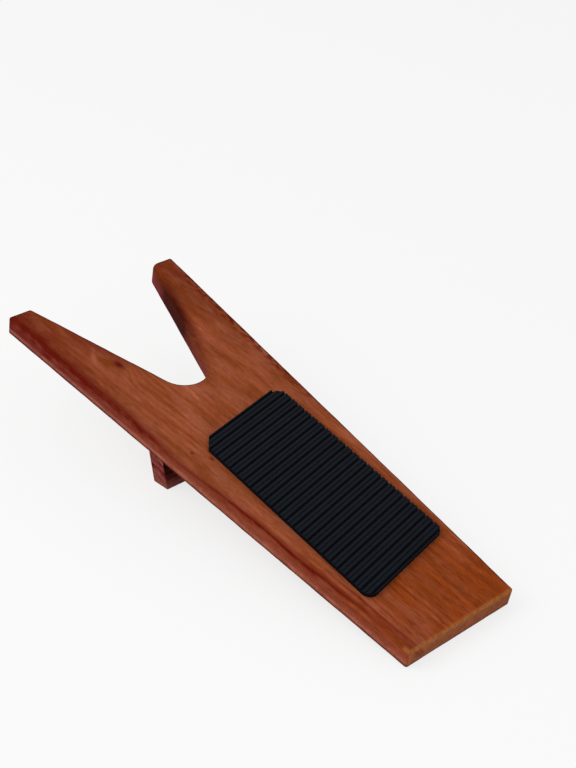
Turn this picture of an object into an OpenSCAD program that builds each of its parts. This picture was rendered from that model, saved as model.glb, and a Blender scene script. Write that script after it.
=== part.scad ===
// Boot jack: a tapered board with a V notch for the heel, propped up by a riser
// block under its middle, with a ribbed rubber tread pad to stand on.
// +X runs along the board to its tail, the notch opens towards -X and +Z is up.
// The origin is on the floor, under the centre of the whole jack.

/* [Board] */
// Length of the board along its own face
board_len = 330; // [310:1:350]
// Thickness of the board
board_t = 12; // [11:0.5:16]
// Width over the prongs at their tips
prong_end_w = 124; // [118:1:140]
// Width of the tail, the end that is stood on
tail_w = 78; // [76:1:90]
// Chamfer that eases the long edges of both faces
arris = 1; // [0.5:0.1:1.5]

/* [Heel notch] */
// Width of the notch between the prong tips
notch_mouth = 92; // [80:1:98]
// Depth of the notch along the board
notch_depth = 108; // [95:1:112]
// Radius of the round bottom of the notch
notch_r = 16; // [12:0.5:20]
// Radius on the inner corner of the right-hand prong's tip, as seen from the tail
tip_r_right = 7.5; // [2:0.5:9]
// Radius on the inner corner of the left-hand prong's tip
tip_r_left = 2; // [2:0.5:9]

/* [Riser block] */
// Height of the riser at its middle
riser_h = 32; // [28:1:40]
// Floor distance from the tail's resting edge to the riser's middle
riser_reach = 199; // [195:1:210]
// Thickness of the riser along the board
riser_t = 12; // [10:0.5:16]
// Set-back of the riser's ends from the board's edges, at its top
riser_inset = 6.5; // [4:0.5:10]
// How far each end of the riser leans in at the floor
riser_lean = 4.7; // [0:0.1:6]

/* [Tread pad] */
// Length of the pad along the board
pad_len = 141; // [120:1:150]
// Width of the pad
pad_w = 69; // [56:1:70]
// Thickness of the rubber
pad_t = 2.7; // [2.2:0.1:4]
// Distance from the board's tail to the middle of the pad's near end
pad_from_tail = 44; // [30:1:50]
// How far the pad sits to the right of the board's centre line
pad_aside = 1.7; // [0:0.1:2]
// Slant of the pad's ends and ribs from square
pad_skew = 12; // [0:0.1:15]
// Cut across each of the pad's corners at the notch end
pad_clip = 6.5; // [3:0.5:9]
// Radius of each of the pad's corners at the tail end
pad_r = 5.5; // [3:0.5:8]
// Thickness of the adhesive film under the pad
film_t = 0.3; // [0.2:0.1:0.6]
// How far the film stays in from the pad's edge
film_inset = 1; // [0.5:0.5:2]

/* [Ribs] */
// Length of one pair of ribs, from deep groove to deep groove
rib_pitch = 6; // [5:0.5:8]
// Least plain border at each end of the pad
rib_border = 1.4; // [1:0.1:4]
// Width of a deep groove at the top
groove_w = 1.8; // [1.2:0.1:2.4]
// Width of a deep groove at the bottom
groove_floor_w = 0.9; // [0.4:0.1:1.1]
// Depth of a deep groove
groove_d = 1.3; // [0.6:0.1:1.6]
// Width of the shallow groove in the middle of each pair
fine_w = 1; // [0.6:0.1:1.4]
// Depth of the shallow groove
fine_d = 0.6; // [0.3:0.1:1]

/* [Screws] */
// Length of each wood screw
screw_len = 40; // [36:0.5:41]
// Outer diameter of its shank and thread
screw_d = 3.5; // [3:0.1:4]
// Diameter of its countersunk head
head_d = 7; // [6.5:0.1:7.5]
// Height of the upright rim of the head
head_rim = 0.3; // [0.2:0.05:0.5]
// Diameter at the root of the thread
root_d = 2.3; // [2:0.1:2.5]
// Pitch of the thread
thread_pitch = 1.6; // [1.2:0.1:2]
// Length of the smooth stretch under the head's face
smooth_len = 15; // [10:1:18]
// Length of the screw's point
point_len = 3.5; // [2.5:0.5:5]
// Width of the cross recess in the head
cross_w = 0.9; // [0.7:0.05:1.1]
// Length of each arm of the cross, end to end
cross_len = 3.8; // [3:0.1:4.5]
// Depth of the cross recess
cross_d = 1.5; // [1:0.1:1.8]
// How far the heads sit above the floor
head_recess = 1; // [0.5:0.1:2]
// Distance of each screw from the centre line
screw_y = 30; // [20:1:34]
// Gap all round a screw's head and shank in the wood
screw_gap = 0.1; // [0.05:0.05:0.2]

/* [Hidden] */
// Segments of a full circle
$fn = 96;
// Overshoot of a cut past the faces that it goes through
over = 1;
// Room that a cut at a rounded corner reaches outside it
beyond = 4;

// Lean of the board, set by the riser's height and how far it stands from the tail
tilt = atan(riser_h / riser_reach);
// Angle between each long side and the centre line
side_angle = atan((prong_end_w - tail_w) / 2 / board_len);
// Reach of the jack in front of and behind its resting edge at the tail
front_reach = arris * cos(tilt) + (board_t - arris) * sin(tilt);
back_reach = (board_len - arris) * cos(tilt) - arris * sin(tilt);
// Resting edge at the tail, with the whole jack centred on the origin
rest_x = (back_reach - front_reach) / 2;
// Middle of the riser
riser_x = rest_x - riser_reach;
// Half-width of the board at a place x along it, 0 at the tail
function half_width(x) = tail_w / 2 - x / board_len * (prong_end_w - tail_w) / 2;
// Place of the riser along the underside, and half its length at the top
riser_station = -arris - riser_reach / cos(tilt);
riser_half = half_width(riser_station) - riser_inset;
lean_angle = atan(riser_lean / riser_h);

// Heel notch: its centre, the slope of its straight sides and where they meet the round
mouth_half = notch_mouth / 2;
notch_x = -board_len + notch_depth - notch_r;
to_centre = norm([notch_depth - notch_r, mouth_half]);
notch_slope = atan2(mouth_half, notch_depth - notch_r) - asin(notch_r / to_centre);
side_run = sqrt(to_centre * to_centre - notch_r * notch_r);
mouth_corner = [-board_len, mouth_half];
notch_tangent = mouth_corner + side_run * [cos(notch_slope), -sin(notch_slope)];

// Middle of the pad and the faces that it and its film lie between
pad_x = -pad_from_tail - pad_len / 2;
film_z = board_t;
pad_z = board_t + film_t;
// Point of the pad, u along it and v across it, from its middle
function on_pad(u, v) = [pad_x + u - v * tan(pad_skew), pad_aside + v];

// Ribs: as many whole pairs as fit, centred, measured square to the grooves
rib_count = floor((pad_len - 2 * rib_border) / rib_pitch);
rib_step = rib_pitch * cos(pad_skew);
rib_start = -rib_count * rib_step / 2;
rib_reach = pad_len + pad_w;

// Screw: the radii of its parts and the number of thread turns
screw_r = screw_d / 2;
head_r = head_d / 2;
root_r = root_d / 2;
head_cone = head_rim + head_r - screw_r;
thread_turns = floor((screw_len - point_len - smooth_len) / thread_pitch);
thread_end = smooth_len + thread_turns * thread_pitch;

// Places a shape of the board's own frame on its riser: x is 0 at the tail, z is 0 underneath
module on_board() {
    translate([rest_x, 0, 0])
        rotate([0, tilt, 0])
            translate([arris, 0, 0])
                children();
}

// Its child, and the same again on the other side of the centre line
module both_sides() {
    children();
    mirror([0, 1, 0])
        children();
}

// Its child, which cuts at the top face, and the same again at the underside
module both_faces() {
    children();
    translate([0, 0, board_t])
        mirror([0, 0, 1])
            children();
}

// Unit vector from point p to point q
function heading(p, q) = (q - p) / norm(q - p);
// Centre of the round of radius r in the corner at p between points a and b
function round_centre(p, a, b, r) =
    let (u = heading(p, a), v = heading(p, b), half = acos(u * v) / 2)
    p + heading([0, 0], u + v) * r / sin(half);
// Distance from the corner to where that round meets each side
function round_run(p, a, b, r) = r / tan(acos(heading(p, a) * heading(p, b)) / 2);

// Corner region at p, out to where its round of radius r meets the sides to a and b
module corner_kite(p, a, b, r) {
    run = round_run(p, a, b, r);
    centre = round_centre(p, a, b, r);
    polygon([
        p - beyond * heading(p, centre),
        p + run * heading(p, a),
        centre,
        p + run * heading(p, b)
    ]);
}

// What comes off a corner to round it
module corner_cut(p, a, b, r) {
    difference() {
        corner_kite(p, a, b, r);
        translate(round_centre(p, a, b, r))
            circle(r);
    }
}

// Wedge that eases the top edge from p to q, with the wood on the left of p to q.
// It runs on past each end by the lengths given.
module edge_ease(p, q, past_p, past_q) {
    run = heading(p, q);
    translate([p.x, p.y, board_t])
        rotate([0, 0, atan2(run.y, run.x)])
            translate([-past_p, 0, 0])
                rotate([90, 0, 90])
                    linear_extrude(norm(q - p) + past_p + past_q)
                        polygon([[arris + over, over], [-over, -arris - over], [-over, over]]);
}

// Eases the top edge of a rounded corner
module corner_ease(p, a, b, r) {
    centre = round_centre(p, a, b, r);
    difference() {
        translate([0, 0, board_t - arris])
            linear_extrude(arris + over)
                corner_kite(p, a, b, r);
        translate([centre.x, centre.y, board_t - arris])
            cylinder(h = arris + over, r1 = r, r2 = r - arris - over);
    }
}

// Corners of one half of the board's outline
tail_corner = [0, half_width(0)];
prong_corner = [-board_len, half_width(-board_len)];

// All that comes off the top edges of the board
module top_eases() {
    edge_ease([tail_corner.x, -tail_corner.y], tail_corner, beyond, beyond);
    translate([notch_x, 0, board_t - arris])
        cylinder(h = arris + over, r1 = notch_r, r2 = notch_r + arris + over);
    both_sides() {
        edge_ease(tail_corner, prong_corner, beyond, beyond);
        edge_ease(prong_corner, mouth_corner, beyond, 0);
        edge_ease(mouth_corner, notch_tangent, 0, 0);
    }
    corner_ease(mouth_corner, prong_corner, notch_tangent, tip_r_right);
    mirror([0, 1, 0])
        corner_ease(mouth_corner, prong_corner, notch_tangent, tip_r_left);
}

// What comes off the inner corner of a prong's tip, right through the board
module tip_cut(r) {
    translate([0, 0, -over])
        linear_extrude(board_t + 2 * over)
            corner_cut(mouth_corner, prong_corner, notch_tangent, r);
}

// Clear space of the heel notch, right through the board
module heel_notch() {
    lip = over * tan(notch_slope);
    translate([0, 0, -over])
        linear_extrude(board_t + 2 * over)
            polygon([
                [-board_len - over, mouth_half + lip],
                [-board_len - over, -mouth_half - lip],
                [notch_tangent.x, -notch_tangent.y],
                notch_tangent
            ]);
    translate([notch_x, 0, -over])
        cylinder(h = board_t + 2 * over, r = notch_r);
}

module plank() {
    difference() {
        linear_extrude(board_t)
            polygon([
                tail_corner,
                prong_corner,
                [prong_corner.x, -prong_corner.y],
                [tail_corner.x, -tail_corner.y]
            ]);
        heel_notch();
        tip_cut(tip_r_right);
        mirror([0, 1, 0])
            tip_cut(tip_r_left);
        both_faces()
            top_eases();
    }
}

// Places its child at the right-hand screw, with z from the screw head's face up
module at_screw() {
    translate([riser_x, screw_y, head_recess])
        children();
}

// Hole for a screw: a countersink for its head, then a straight hole past its point
module screw_hole() {
    translate([0, 0, -head_recess - over])
        cylinder(h = head_recess + over + head_rim, r = head_r + screw_gap);
    translate([0, 0, head_rim])
        cylinder(h = head_cone - head_rim, r1 = head_r + screw_gap, r2 = screw_r + screw_gap);
    cylinder(h = screw_len + screw_gap, r = screw_r + screw_gap);
}

module screw() {
    difference() {
        rotate_extrude()
            polygon([
                [0, 0],
                [head_r, 0],
                [head_r, head_rim],
                [screw_r, head_cone],
                [screw_r, smooth_len],
                for (turn = [0 : thread_turns - 1])
                    let (z = smooth_len + turn * thread_pitch)
                    each [
                        [root_r, z + 0.1 * thread_pitch],
                        [root_r, z + 0.4 * thread_pitch],
                        [screw_r, z + 0.7 * thread_pitch]
                    ],
                [root_r, thread_end],
                [0, screw_len]
            ]);
        for (turn = [0, 90])
            rotate([0, 0, turn])
                translate([-cross_len / 2, -cross_w / 2, -over])
                    cube([cross_len, cross_w, cross_d + over]);
    }
}

// Plan of the pad, drawn in from its edge by a margin
module pad_plan(margin) {
    u = pad_len / 2 - margin / cos(pad_skew);
    v = pad_w / 2 - margin;
    near_right = on_pad(u, v);
    near_left = on_pad(u, -v);
    far_right = on_pad(-u, v);
    far_left = on_pad(-u, -v);
    difference() {
        polygon([
            near_right,
            far_right + pad_clip * heading(far_right, near_right),
            far_right + pad_clip * heading(far_right, far_left),
            far_left + pad_clip * heading(far_left, far_right),
            far_left + pad_clip * heading(far_left, near_left),
            near_left
        ]);
        corner_cut(near_right, far_right, near_left, pad_r);
        corner_cut(near_left, far_left, near_right, pad_r);
    }
}

// Section across the ribs: deep grooves with a shallow one between each two
module rib_section() {
    polygon([
        [-rib_reach, 0],
        [rib_reach, 0],
        [rib_reach, pad_t],
        for (pair = [rib_count : -1 : 0])
            let (s = rib_start + pair * rib_step)
            each concat(
                [
                    [s + groove_w / 2, pad_t],
                    [s + groove_floor_w / 2, pad_t - groove_d],
                    [s - groove_floor_w / 2, pad_t - groove_d],
                    [s - groove_w / 2, pad_t]
                ],
                pair == 0 ? [] : [
                    [s - rib_step / 2 + fine_w / 2, pad_t],
                    [s - rib_step / 2, pad_t - fine_d],
                    [s - rib_step / 2 - fine_w / 2, pad_t]
                ]
            ),
        [-rib_reach, pad_t]
    ]);
}

// The wooden foot board
module board() {
    color([0.57, 0.28, 0.16])
        difference() {
            on_board()
                plank();
            both_sides()
                at_screw()
                    screw_hole();
        }
}

// The wooden block that props the board up, cut to its slope on top
module riser_block() {
    half_t = riser_t / 2;
    color([0.42, 0.18, 0.13])
        difference() {
            translate([0, riser_half + beyond, 0])
                rotate([90, 0, 0])
                    linear_extrude(2 * (riser_half + beyond))
                        polygon([
                            [riser_x - half_t, 0],
                            [riser_x + half_t, 0],
                            [riser_x + half_t, (riser_reach - half_t) * tan(tilt)],
                            [riser_x - half_t, (riser_reach + half_t) * tan(tilt)]
                        ]);
            both_sides()
                translate([riser_x, riser_half, riser_h])
                    rotate([0, 0, -side_angle])
                        rotate([-lean_angle, 0, 0])
                            translate([-riser_t, 0, -2 * riser_h])
                                cube([2 * riser_t, riser_half, 3 * riser_h]);
            both_sides()
                at_screw()
                    screw_hole();
        }
}

// The ribbed rubber pad
module tread_pad() {
    color([0.11, 0.12, 0.14])
        on_board()
            translate([0, 0, pad_z])
                intersection() {
                    linear_extrude(pad_t)
                        pad_plan(0);
                    translate([pad_x, pad_aside, 0])
                        rotate([0, 0, pad_skew])
                            translate([0, rib_reach, 0])
                                rotate([90, 0, 0])
                                    linear_extrude(2 * rib_reach)
                                        rib_section();
                }
}

// The film that bonds the pad to the board
module pad_adhesive() {
    color([0.75, 0.7, 0.6])
        on_board()
            translate([0, 0, film_z])
                linear_extrude(film_t)
                    pad_plan(film_inset);
}

// The screw on the left, as seen from the tail
module left_screw() {
    color([0.72, 0.72, 0.7])
        mirror([0, 1, 0])
            at_screw()
                screw();
}

// The screw on the right, as seen from the tail
module right_screw() {
    color([0.72, 0.72, 0.7])
        at_screw()
            screw();
}

board();
riser_block();
tread_pad();
pad_adhesive();
left_screw();
right_screw();
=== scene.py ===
"""Wooden boot jack: stained board, riser block, ribbed rubber tread pad and screws, on a pale floor."""

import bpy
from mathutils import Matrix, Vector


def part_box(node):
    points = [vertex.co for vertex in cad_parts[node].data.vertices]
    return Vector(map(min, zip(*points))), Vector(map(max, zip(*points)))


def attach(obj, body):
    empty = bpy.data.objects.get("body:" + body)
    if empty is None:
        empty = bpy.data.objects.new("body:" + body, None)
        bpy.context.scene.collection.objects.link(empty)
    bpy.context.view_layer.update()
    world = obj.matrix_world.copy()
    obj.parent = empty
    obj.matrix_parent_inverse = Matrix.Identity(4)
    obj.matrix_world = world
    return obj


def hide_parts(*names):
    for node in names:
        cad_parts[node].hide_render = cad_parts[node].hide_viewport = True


bl_info = {
    "name": "Boot jack",
    "version": (1, 0, 0),
    "blender": (4, 5, 0),
    "location": "3D View > Sidebar > Boot jack",
    "description": "Builds a wooden boot jack with a ribbed rubber tread pad",
    "category": "Add Mesh",
}

import math

import bmesh
import bpy
import numpy as np
from bpy.props import FloatProperty, FloatVectorProperty, PointerProperty
from mathutils import Matrix, Vector

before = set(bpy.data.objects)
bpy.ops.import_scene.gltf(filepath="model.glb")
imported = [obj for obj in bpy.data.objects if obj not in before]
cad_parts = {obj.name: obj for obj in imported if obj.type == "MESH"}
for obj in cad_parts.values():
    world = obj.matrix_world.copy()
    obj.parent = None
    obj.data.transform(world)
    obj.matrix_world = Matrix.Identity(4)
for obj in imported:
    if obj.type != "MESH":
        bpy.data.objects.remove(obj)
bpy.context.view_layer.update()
BOARD_LOW, BOARD_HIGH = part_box("board")
RISER_LOW, RISER_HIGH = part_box("riser_block")
SCREW_LOW, SCREW_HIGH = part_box("right_screw")

# Lengths in metres. Points closer than MERGE become one, and the floor lies FLOOR_GAP under the jack. The
# marks along the edges, such as the darker arrises and the painted highlight at the tail, fade out
# ARRIS_REACH from an arris, and the red stain and the darkening along the notch NOTCH_REACH from it. A turn
# of one radian counts as TURN_LENGTH where a path's points are spaced. The sanded arris stops wandering
# WANDER_FADE from its ends, and WANDER_SHIFT sets its two sides apart. The rest ease the crests, the pad's
# edge and the screws' heads.
MM = 0.001
MERGE = 0.000005
FLOOR_GAP = 0.0001
FLOOR_REACH = 3.0
ARRIS_REACH = 0.006
NOTCH_REACH = 0.012
TURN_LENGTH = 0.010
WANDER_FADE = 0.02
WANDER_SHIFT = 0.017
CROWN_DROP = 0.00008
CROWN_REACH = 0.0005
PAD_EASE = 0.0003
HEAD_EASE = 0.00005

# The hand-sanded arris: each wave's length in metres, height and start, and the least and greatest radius
ARRIS_WAVES = [(0.031, 0.07, 0.1), (0.0117, 0.04, 0.63), (0.053, 0.06, 0.37)]
ARRIS_LIMITS = (0.88, 1.12)

# How finely the pieces are made, in points or rows along each stretch
NOTCH_ROWS = 230
TAIL_ROWS = 190
FACE_COLUMNS = 19
STRAIGHT_POINTS = 300
END_POINTS = 100
NOTCH_ROUND_POINTS = 60
TIP_ROUND_POINTS = 40
CORNER_POINTS = 30
RIM_STEPS = 7
FLOOR_POINTS = 9
HOLE_SIDES = 48
SECTION_CORNER_POINTS = 7
SECTION_SIDE_POINTS = 12
RISER_EASE_STEPS = 6
RISER_RINGS = 25
RIB_SAMPLES = 40
PAD_CORNER_ROWS = 26
PAD_EASE_ROWS = 7
PAD_EDGE_POINTS = 5
PAD_TOP_POINTS = 27
PAD_UNDER_POINTS = 14
SCREW_SIDES = 40
THREAD_ROWS = 260

# Decimals to which places along the pad are rounded, so that those that fall together are kept once
PAD_DIGITS = 7

# The riser's ends: the share of its rounding that they take up, and the sizes of the rings that close them
RISER_ROUNDING_USED = 0.98
RISER_CAP_RINGS = (0.8, 0.55, 0.3)

# The greatest share of the pad's width that one eased edge may take
PAD_EDGE_SHARE = 0.2

# The screws: the flat of the head as a share of it, half the thread's ridge as a share of the pitch and how
# sharp that ridge is, the cross's far end as a share of its mouth, and how far each cross is turned
HEAD_FACE = 0.97
RIDGE_HALF = 0.32
RIDGE_POWER = 1.3
CROSS_NARROWS_TO = 0.62
CROSS_TURN_RIGHT = math.radians(20.0)
CROSS_TURN_LEFT = math.radians(65.0)

# What each shared shader group puts out
WOOD_VALUES = ("Ring", "Fibre", "Pore", "Cloud", "Height")
MOTTLE_VALUES = ("Patch", "Speck", "Scuff")

# Stretches of the board, in millimetres from the prong tips: where each change begins and where it ends
DARK_TIPS = (0.0, 110.0)
WARM_TAIL = (215.0, 312.0)
DARK_SIDES = (10.0, 175.0)
STREAK_BEGINS = (90.0, 190.0)
STREAK_MOVES = (262.0, 320.0)
STREAK_FADES = (262.0, 310.0)
SECOND_STREAK = (262.0, 290.0)
BLUSH_ENDS = (12.0, 165.0)
FLECKS_BEGIN = (8.0, 24.0)
FLECKS_END = (120.0, 190.0)
RUBBED_BEGINS = (170.0, 215.0)
RUBBED_ENDS = (285.0, 310.0)
# Where the painted highlight on the tail's top arris begins and where it is full
TAIL_HIGHLIGHT = (323.5, 326.5)

# Marks on the board, in millimetres from the prong tips, as a middle and a reach
STREAK_BULGE = (157.0, 26.0)
STREAK_PALE = (160.0, 22.0)
RED_NOTCH_RIGHT = (58.0, 34.0)
RED_NOTCH_LEFT = (54.0, 22.0)
# The darkening along the notch, on the right prong's face and on the notch walls
DARK_NOTCH_FACE = (46.0, 21.0)
DARK_NOTCH_WALL = (42.0, 17.0)

# Marks in a spot of the board: a middle and a reach along from the tips, then the same across to the right
KNOT = ((70.8, 3.8), (-31.0, 2.4))
KNOT_BEND = ((68.0, 14.0), (-31.0, 8.0))
KNOT_SMEAR = ((66.0, 6.0), (-35.6, 3.2))
SMALL_PIN_KNOT = ((154.8, 1.3), (-41.4, 1.1))
LARGE_PIN_KNOT = ((164.6, 1.8), (-34.9, 1.0))

# Sizes of the spots in each pattern of the wood, in millimetres along, across and up
PINK_DRIFTS = (26.0, 7.0, 7.0)
BROWN_DRIFTS = (30.0, 6.0, 6.0)
BLOTCHES = (11.0, 4.0, 4.0)
COARSE_GRAIN = (5.0, 1.7, 1.7)
DARK_DASHES = (10.0, 1.5, 1.5)
GRIT = (4.0, 1.6, 1.6)
FLECKS = (5.0, 2.0, 2.0)
STREAK_DRIFT = (26.0, 1.0, 1.0)
RING_WAVER = (150.0, 45.0, 45.0)
RING_RIPPLE = (34.0, 12.0, 12.0)
RING_CHANGE = (7.0, 1.0, 1.0)
FIBRES = (24.0, 0.8, 0.8)
PORES = (7.0, 0.42, 0.42)
CLOUDS = (75.0, 15.0, 15.0)
RISER_STREAKS = (30.0, 3.2, 9.0)

# Size of the turning marks on the screws, in millimetres across, deep and up
TURNING_MARKS = (1.0, 1.0, 0.09)

# Sizes of the handled patches, specks and scuffs, as shares of a patch's size
PATCHES = (1.0, 1.0, 1.0)
SPECKS = (0.05, 0.05, 0.05)
SCUFFS = (1.1, 0.05, 0.4)

# How far the growth rings waver and ripple, and how uneven their widths are, in millimetres
WAVER_HEIGHT = 11.0
RIPPLE_HEIGHT = 3.4
RING_UNEVENNESS = 3.0

# Where the pith of each piece runs: how far off across the grain and below, in millimetres, and its slant
BOARD_PITH = (38.0, 45.0)
BOARD_PITH_SLANT = 0.07
RISER_PITH = (46.0, 62.0)

# The rings bulge round the knot by this many millimetres
KNOT_BULGE = 7.0

# The pale curl before the knot: where it starts from the tips and from the centre line, in millimetres, and
# its slope and bend there
CURL_STATION = 59.0
CURL_FROM_MIDDLE = 40.6
CURL_SLOPE = 0.42
CURL_BEND = 0.02

# How far marks stray from their outline, in millimetres
RAGGEDNESS = 5.0

# What a step down the left side counts for, beside one towards the edge, so that the streak wraps over it
OVER_ARRIS = 0.7

# How steeply the streaks on the riser's ends fall towards the tail, and how they lean along the block
STREAK_FALL = 1.8
STREAK_LEAN = 0.55

# Width of the growth rings and size of the handled patches, in millimetres
BOARD_RING_WIDTH = 3.4
RISER_RING_WIDTH = 6.0
BOARD_PATCHES = 20.0
RISER_PATCHES = 9.0
PAD_PATCHES = 22.0
FILM_PATCHES = 9.0
STEEL_PATCHES = 3.0
FLOOR_PATCHES = 400.0

# Depth of the relief in each finish, in metres
WOOD_RELIEF = 0.00012
RUBBER_RELIEF = 0.00005
FILM_RELIEF = 0.00004
STEEL_RELIEF = 0.00002

# The stage: the lamps' colours as light, the camera's sensor in millimetres and its clipping in metres
WHITE = (1.0, 1.0, 1.0, 1.0)
KEY_TINT = (1.0, 0.985, 0.96)
FILL_TINT = (0.96, 0.98, 1.0)
SENSOR_WIDTH = 36.0
CAMERA_CLIP = (0.01, 20.0)

# Angle in degrees from which an edge between two faces stays sharp
SHARP_ANGLE = 35.0
SCREW_SHARP_ANGLE = 40.0


def length(name, value, words):
    """A size property in metres."""
    return FloatProperty(
        name=name, default=value, subtype="DISTANCE", unit="LENGTH", precision=5, description=words
    )


def strength(name, value, words):
    """A property that is 0 or more."""
    return FloatProperty(name=name, default=value, min=0.0, description=words)


def fraction(name, value, words):
    """A property from 0 to 1."""
    return FloatProperty(name=name, default=value, min=0.0, max=1.0, subtype="FACTOR", description=words)


def triple(name, value, words):
    """A place or a direction as x, y and z."""
    return FloatVectorProperty(name=name, default=value, size=3, subtype="XYZ", description=words)


def colour(name, value, words):
    """A colour property, held as it looks on screen."""
    return FloatVectorProperty(
        name=name, default=value, size=3, min=0.0, max=1.0, subtype="COLOR_GAMMA", description=words
    )


class BoardSettings(bpy.types.PropertyGroup):
    """Sizes and stain of the foot board."""

    board_length: length("Length", 0.330, "Length of the board along its own face")
    thickness: length("Thickness", 0.012, "Thickness of the board")
    prong_width: length(
        "Prong end width", BOARD_HIGH.y - BOARD_LOW.y, "Width over the prongs at their tips"
    )
    tail_width: length("Tail width", 0.078, "Width of the end that is stood on")
    mouth: length("Notch mouth", 0.092, "Width of the notch between the prong tips")
    depth: length("Notch depth", 0.108, "Depth of the notch along the board")
    notch_radius: length("Notch radius", 0.016, "Radius of the round bottom of the notch")
    tip_radius_right: length(
        "Right tip radius", 0.0075, "Radius on the inner corner of the right-hand prong's tip"
    )
    tip_radius_left: length(
        "Left tip radius", 0.002, "Radius on the inner corner of the left-hand prong's tip"
    )
    corner_radius: length("Corner radius", 0.0016, "Radius of the upright corners at the prongs and tail")
    arris_radius: length("Arris radius", 0.00125, "Radius of the eased edges of both faces")
    arris: length(
        "Arris chamfer", 0.001,
        "Chamfer of the same edges on the solid board, which sets where the tail rests",
    )
    stain: colour("Stain", (0.606, 0.318, 0.196), "Stained wood in the middle of the board")
    stain_tips: colour("Stain at the tips", (0.440, 0.158, 0.078), "Darker stain towards the prong tips")
    stain_tail: colour("Stain at the tail", (0.586, 0.264, 0.098), "Warmer stain towards the tail")
    pink: colour("Pink wood", (0.660, 0.370, 0.275), "Pinker, paler drifts in the wood")
    brown: colour("Brown wood", (0.490, 0.220, 0.070), "Browner, darker drifts in the wood")
    heartwood: colour("Heartwood", (0.385, 0.075, 0.040), "Dark red wood along the left edge")
    latewood: colour("Latewood", (0.415, 0.165, 0.072), "Dark part of each growth ring")
    # Partly the sides' own pinker wood and partly a painted reflection of the pale floor on their lower
    # part.
    side: colour("Side faces", (0.545, 0.262, 0.192), "Pinker wood on the long sides")
    side_tips: colour(
        "Sides at the tips", (0.462, 0.178, 0.195), "Dark pink stain on the sides of the prongs"
    )
    end_grain: colour("End grain", (0.585, 0.360, 0.245), "Pale end grain at the tail and the prong tips")
    # Besides knots and pores, this colour darkens the arrises and the stretch along the notch.
    dark: colour("Dark wood", (0.215, 0.065, 0.045), "Knots, pores and stained edges")
    # Painted highlight: this pale colour is painted along the tail's top arris as its highlight.
    worn: colour("Worn wood", (0.660, 0.425, 0.220), "Pale wood where the stain has rubbed off")
    rubbed_pink: colour(
        "Rubbed pink", (0.700, 0.440, 0.370), "Pale wood along the lower edge of the left side"
    )


class RiserSettings(bpy.types.PropertyGroup):
    """Sizes and stain of the riser block."""

    height: length("Height", 0.032, "Height of the riser at its middle")
    reach: length("Reach", 0.199, "Floor distance from the tail's resting edge to the riser's middle")
    inset: length("Inset", 0.0065, "Set-back of its ends from the board's edges, at its top")
    lean: length("Lean", 0.0047, "How far each end leans in at the floor")
    arris_radius: length("Arris radius", 0.0007, "Radius of its eased edges")
    stain: colour("Stain", (0.520, 0.215, 0.195), "Stained wood of the riser")
    latewood: colour("Latewood", (0.290, 0.050, 0.048), "Dark part of each growth ring")
    pale: colour("Pale wood", (0.690, 0.410, 0.370), "Pale streaks between the rings")
    # Painted shadow: the board's shadow on the riser, painted in the corner under the board and just below
    # its edge.
    painted_shadow: colour("Shade", (0.105, 0.020, 0.020), "Stain and dirt gathered in the corner under the board")
    scuffed: colour("Scuffed wood", (0.640, 0.400, 0.360), "Wood rubbed bare along the foot")


class PadSettings(bpy.types.PropertyGroup):
    """Sizes and finish of the ribbed rubber pad."""

    pad_length: length("Length", 0.141, "Length of the pad along the board")
    width: length("Width", 0.069, "Width of the pad")
    thickness: length("Thickness", 0.0027, "Thickness of the rubber")
    from_tail: length(
        "From tail", 0.044, "Distance from the board's tail to the middle of the pad's near end"
    )
    aside: length("Aside", 0.0017, "How far the pad sits to the right of the board's centre line")
    film: length("Film", 0.0003, "Thickness of the adhesive film under the pad")
    skew: FloatProperty(
        name="Skew", default=math.radians(12.0), subtype="ANGLE",
        description="Slant of the pad's ends and ribs",
    )
    clip: length("Clip", 0.0065, "Cut across each corner at the notch end")
    corner_radius: length("Corner radius", 0.0055, "Radius of each corner at the tail end")
    rib_pitch: length("Rib pitch", 0.006, "Length of one pair of ribs")
    rib_border: length("Rib border", 0.0014, "Least plain border at each end of the pad")
    groove_width: length("Groove width", 0.0018, "Width of a deep groove at the top")
    groove_floor: length("Groove floor", 0.0009, "Width of a deep groove at the bottom")
    groove_depth: length("Groove depth", 0.0013, "Depth of a deep groove")
    fine_width: length("Fine width", 0.0010, "Width of the shallow groove between two ribs of a pair")
    fine_depth: length("Fine depth", 0.0006, "Depth of that shallow groove")
    rubber: colour("Rubber", (0.042, 0.054, 0.074), "Colour of the rubber")
    # The greyer colour given to the crests.
    worn: colour("Worn rubber", (0.098, 0.112, 0.140), "Greyer rubber where soles rub the crests")
    adhesive: colour("Adhesive", (0.75, 0.70, 0.60), "Colour of the film under the pad")
    film_dirt: colour("Dirt on the film", (0.33, 0.25, 0.18), "Dirt at the film's edge")


class ScrewSettings(bpy.types.PropertyGroup):
    """Sizes and plating of the two wood screws."""

    diameter: length("Diameter", 0.0035, "Outer diameter of the shank and thread")
    root: length("Root", 0.0023, "Diameter at the root of the thread")
    head: length("Head", SCREW_HIGH.x - SCREW_LOW.x, "Diameter of the countersunk head")
    rim: length("Rim", 0.0003, "Height of the upright rim of the head")
    pitch: length("Pitch", 0.0016, "Pitch of the thread")
    smooth: length("Smooth length", 0.015, "Length of the smooth stretch from the head's face")
    point: length("Point", 0.0035, "Length of the screw's point")
    cross_length: length("Cross length", 0.0038, "Length of each arm of the cross recess")
    cross_width: length("Cross width", 0.0009, "Width of each arm of the cross recess")
    cross_depth: length("Cross depth", 0.0015, "Depth of the cross recess")
    gap: length("Gap", 0.0001, "Gap all round a screw in the wood")
    zinc: colour("Zinc", (0.74, 0.74, 0.71), "Zinc plating")
    tarnish: colour("Tarnish", (0.45, 0.41, 0.35), "Dulled plating in the recess and on the edges")


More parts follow.
